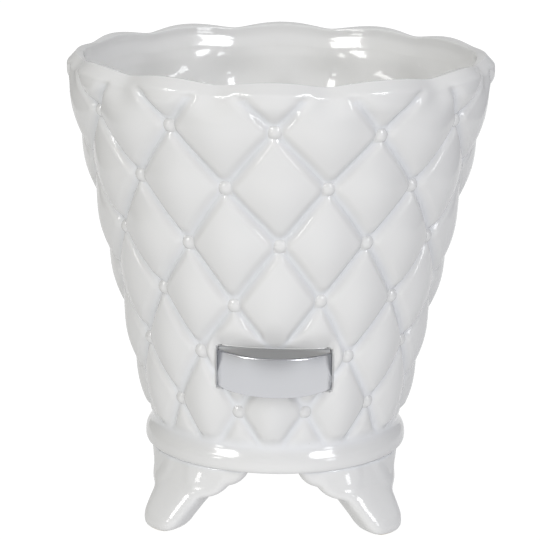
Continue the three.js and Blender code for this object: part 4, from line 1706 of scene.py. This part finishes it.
@dataclass(frozen=True)
class Studio:
    """The floor, the world, the lamps and the camera.

    A lobe is a bright part of the world, by its degrees up from the front and its brightness. Gloss
    mirrors the floor at two levels, which meet between the two places in front of the pot that the
    floor's grading gives.
    """

    target: tuple[float, float, float] = (0.0, 0.0, 0.115)
    camera_place: tuple[float, float, float] = (0.0140, -1.1041, 0.3819)
    camera_heading: float = 0.905
    camera_pitch: float = 13.7574
    camera_roll: float = 0.7
    lens: float = 159.7
    sensor: float = 36.0
    back_level: float = 0.25
    front_level: float = 1.22
    mirrored_back: float = 0.5
    mirrored_front: float = 0.45
    lobes: tuple[tuple[float, float], ...] = ((-13.0, 1.0), (35.0, 0.82), (165.0, 0.6))
    side_blend: tuple[float, float] = (0.3, 0.9)
    left_tint: tuple[float, float, float] = (1.02, 1.015, 0.975)
    right_tint: tuple[float, float, float] = (0.975, 0.98, 1.03)
    floor_colour: tuple[float, float, float] = (0.9, 0.9, 0.9)
    floor_whiteness: float = 0.86
    floor_glow: float = 1.12
    floor_mirrored: tuple[float, float] = (0.93, 0.45)
    floor_grading: tuple[float, float] = (-0.5, -0.58)
    floor_half_width: float = 0.5
    floor_front: float = -0.9
    floor_back: float = 3.0
    boxes: tuple[SoftBox, ...] = (
        SoftBox("box_left", -50.0, 36.0, 1.5, 0.6, 0.6, 1.6, (1.0, 0.985, 0.96)),
        SoftBox("box_right", 50.0, 36.0, 1.5, 0.6, 0.6, 1.5, (0.96, 0.975, 1.0)),
        SoftBox("card_left", -49.0, 37.0, 1.5, 0.44, 0.44, 7.0, (1.0, 0.99, 0.97), diffuse=False),
        SoftBox("card_right", 49.0, 37.0, 1.5, 0.44, 0.44, 7.0, (0.97, 0.98, 1.0), diffuse=False),
        SoftBox("strip_left", -50.0, 11.0, 1.5, 0.2, 0.34, 1.5, (1.0, 0.99, 0.97), diffuse=False),
        SoftBox("strip_right", 50.0, 11.0, 1.5, 0.2, 0.34, 1.5, (0.97, 0.98, 1.0), diffuse=False),
        SoftBox("box_top", 0.0, 84.0, 1.5, 0.7, 0.7, 0.3, (1.0, 1.0, 1.0), glossy=False),
    )

    def lit_share(self, sheet: NodeSheet, direction: bpy.types.NodeSocket) -> bpy.types.NodeSocket:
        """Works out how bright the studio is in a direction.

        Args:
            sheet: The world's sheet.
            direction: The direction looked in.

        Returns:
            The share, from 0 between the bright lobes up to 1 in the brightest.
        """
        shares = []
        for lobe, weight in self.lobes:
            above = math.radians(lobe)
            facing = sheet.add("ShaderNodeVectorMath", operation="DOT_PRODUCT")
            facing.inputs[1].default_value = (0.0, -math.cos(above), math.sin(above))
            sheet.link(direction, facing.inputs[0])
            ahead = sheet.add("ShaderNodeMapRange", interpolation_type="SMOOTHSTEP")
            sheet.link(facing.outputs["Value"], ahead.inputs["Value"])
            ahead.inputs["From Min"].default_value = self.side_blend[0]
            ahead.inputs["From Max"].default_value = self.side_blend[1]
            ahead.inputs["To Max"].default_value = weight
            shares.append(ahead.outputs["Result"])
        lit = shares[0]
        for share in shares[1:]:
            lit = sheet.math("MAXIMUM", lit, share)
        return lit

    def add_world(self) -> None:
        """Sets a white world for the camera and a softly graded one, brightest in front, for the pot."""
        world = bpy.data.worlds.new("studio")
        world.use_nodes = True
        bpy.context.scene.world = world
        sheet = NodeSheet(world.node_tree)
        output = sheet.add("ShaderNodeOutputWorld")
        rays = sheet.add("ShaderNodeLightPath")
        direction = sheet.add("ShaderNodeTexCoord").outputs["Generated"]
        lit = self.lit_share(sheet, direction)
        split = sheet.add("ShaderNodeSeparateXYZ")
        sheet.link(direction, split.inputs["Vector"])
        aside = sheet.math("ADD", sheet.math("MULTIPLY", split.outputs["X"], 0.5), 0.5)
        tint = sheet.mix(aside, self.left_tint, self.right_tint)
        lighting = sheet.add("ShaderNodeBackground")
        mirrored = sheet.add("ShaderNodeBackground")
        for node, back, front in (
            (lighting, self.back_level, self.front_level),
            (mirrored, self.mirrored_back, self.mirrored_front),
        ):
            rise = sheet.math("MULTIPLY", lit, front - back)
            sheet.link(sheet.math("ADD", rise, back), node.inputs["Strength"])
            sheet.link(tint, node.inputs["Color"])
        white = sheet.add("ShaderNodeBackground")
        white.inputs["Color"].default_value = (1.0, 1.0, 1.0, 1.0)
        for_pot = sheet.add("ShaderNodeMixShader")
        for_all = sheet.add("ShaderNodeMixShader")
        gloss = sheet.math("MAXIMUM", rays.outputs["Is Glossy Ray"], rays.outputs["Is Transmission Ray"])
        sheet.link(gloss, for_pot.inputs[0])
        sheet.link(lighting.outputs[0], for_pot.inputs[1])
        sheet.link(mirrored.outputs[0], for_pot.inputs[2])
        sheet.link(rays.outputs["Is Camera Ray"], for_all.inputs[0])
        sheet.link(for_pot.outputs[0], for_all.inputs[1])
        sheet.link(white.outputs[0], for_all.inputs[2])
        sheet.link(for_all.outputs[0], output.inputs["Surface"])

    def add_floor(self) -> None:
        """Adds a plain pale floor that reads as white and keeps the pot's shadow."""
        half, front, back = self.floor_half_width, self.floor_front, self.floor_back
        mesh = bpy.data.meshes.new("floor")
        corners = [(-half, front, 0.0), (half, front, 0.0), (half, back, 0.0), (-half, back, 0.0)]
        mesh.from_pydata(corners, [], [(0, 1, 2, 3)])
        floor = bpy.data.objects.new("floor", mesh)
        bpy.context.scene.collection.objects.link(floor)
        mesh.materials.append(self.floor_material())
        floor.visible_diffuse = False
        floor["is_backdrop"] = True

    def floor_material(self) -> bpy.types.Material:
        """Returns the floor's finish, with its own glow for the camera and for what mirrors it."""
        material = bpy.data.materials.new("pale_floor")
        material.use_nodes = True
        sheet = NodeSheet(material.node_tree)
        output = sheet.add("ShaderNodeOutputMaterial")
        matt = sheet.add("ShaderNodeBsdfDiffuse")
        matt.inputs["Color"].default_value = (*self.floor_colour, 1.0)
        glow = sheet.add("ShaderNodeEmission")
        mixed = sheet.add("ShaderNodeMixShader")
        rays = sheet.add("ShaderNodeLightPath")
        split = sheet.add("ShaderNodeSeparateXYZ")
        sheet.link(sheet.add("ShaderNodeTexCoord").outputs["Object"], split.inputs["Vector"])
        graded = sheet.add("ShaderNodeMapRange", interpolation_type="SMOOTHSTEP")
        sheet.link(split.outputs["Y"], graded.inputs["Value"])
        values = (*self.floor_grading, *self.floor_mirrored)
        for key, value in zip(("From Min", "From Max", "To Min", "To Max"), values, strict=True):
            graded.inputs[key].default_value = value
        plain = sheet.math("MAXIMUM", rays.outputs["Is Camera Ray"], rays.outputs["Is Transmission Ray"])
        mirrored = sheet.math("MULTIPLY", rays.outputs["Is Glossy Ray"], graded.outputs["Result"])
        strength = sheet.math("ADD", sheet.math("MULTIPLY", plain, self.floor_glow), mirrored)
        sheet.link(strength, glow.inputs["Strength"])
        seen = sheet.math("MAXIMUM", plain, rays.outputs["Is Glossy Ray"])
        sheet.link(sheet.math("MULTIPLY", seen, self.floor_whiteness), mixed.inputs[0])
        sheet.link(matt.outputs[0], mixed.inputs[1])
        sheet.link(glow.outputs[0], mixed.inputs[2])
        sheet.link(mixed.outputs[0], output.inputs["Surface"])
        return material

    def add_lamps(self) -> None:
        """Adds the soft boxes."""
        target = Vector(self.target)
        for box in self.boxes:
            around, above = math.radians(box.around), math.radians(box.above)
            level = math.cos(above)
            toward = Vector((math.sin(around) * level, -math.cos(around) * level, math.sin(above)))
            lamp = bpy.data.lights.new(box.name, "AREA")
            lamp.shape = "RECTANGLE"
            lamp.size, lamp.size_y = box.width, box.height
            lamp.energy = box.power
            lamp.color = box.colour
            holder = bpy.data.objects.new(box.name, lamp)
            holder.location = target + toward * box.distance
            holder.rotation_euler = toward.to_track_quat("Z", "Y").to_euler()
            holder.visible_diffuse = box.diffuse
            holder.visible_glossy = box.glossy
            bpy.context.scene.collection.objects.link(holder)

    def add_camera(self) -> None:
        """Adds the camera at the photograph's angle."""
        data = bpy.data.cameras.new("camera")
        data.lens = self.lens
        data.sensor_width = self.sensor
        camera = bpy.data.objects.new("camera", data)
        heading = Matrix.Rotation(math.radians(self.camera_heading), 3, "Z")
        pitch = Matrix.Rotation(math.radians(90.0 - self.camera_pitch), 3, "X")
        roll = Matrix.Rotation(math.radians(self.camera_roll), 3, "Z")
        camera.rotation_euler = (heading @ pitch @ roll).to_euler()
        camera.location = self.camera_place
        bpy.context.scene.collection.objects.link(camera)
        bpy.context.scene.camera = camera

    def build(self) -> None:
        """Adds everything that lights and shows the pot."""
        bpy.context.scene.view_settings.view_transform = "Standard"
        self.add_world()
        self.add_floor()
        self.add_lamps()
        self.add_camera()


def main() -> None:
    """Builds the pot and its studio, and reports each piece."""
    logging.basicConfig(level=logging.INFO, format="%(name)s: %(message)s")
    effects = EffectGroups()
    glaze = Glaze("white_glaze").material(effects)
    chrome = Chrome("bright_plating").material(effects)
    adhesive = SetAdhesive("set_adhesive").material(effects)
    body = PotBody()
    Studio().build()
    dress(body.build(), glaze, Slot.GLAZE, "pot_body")
    dress(Buttons(body).build(), glaze, Slot.GLAZE)
    feet = Feet()
    for foot, name in zip(feet.build(), feet.names, strict=True):
        dress(foot, glaze, Slot.GLAZE, name)
    plate = Nameplate()
    dress(plate.build(), chrome, Slot.CHROME, "nameplate")
    pads = AdhesivePads(plate)
    for side in Side:
        dress(pads.build(side), adhesive, Slot.ADHESIVE, f"adhesive_pad_{side.name.lower()}")


if __name__ == "__main__":
    main()
    boxes = {"cad": CAD_BOX, "visual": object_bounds()}
    plain = {key: [[float(v) for v in corner] for corner in box] for key, box in boxes.items()}
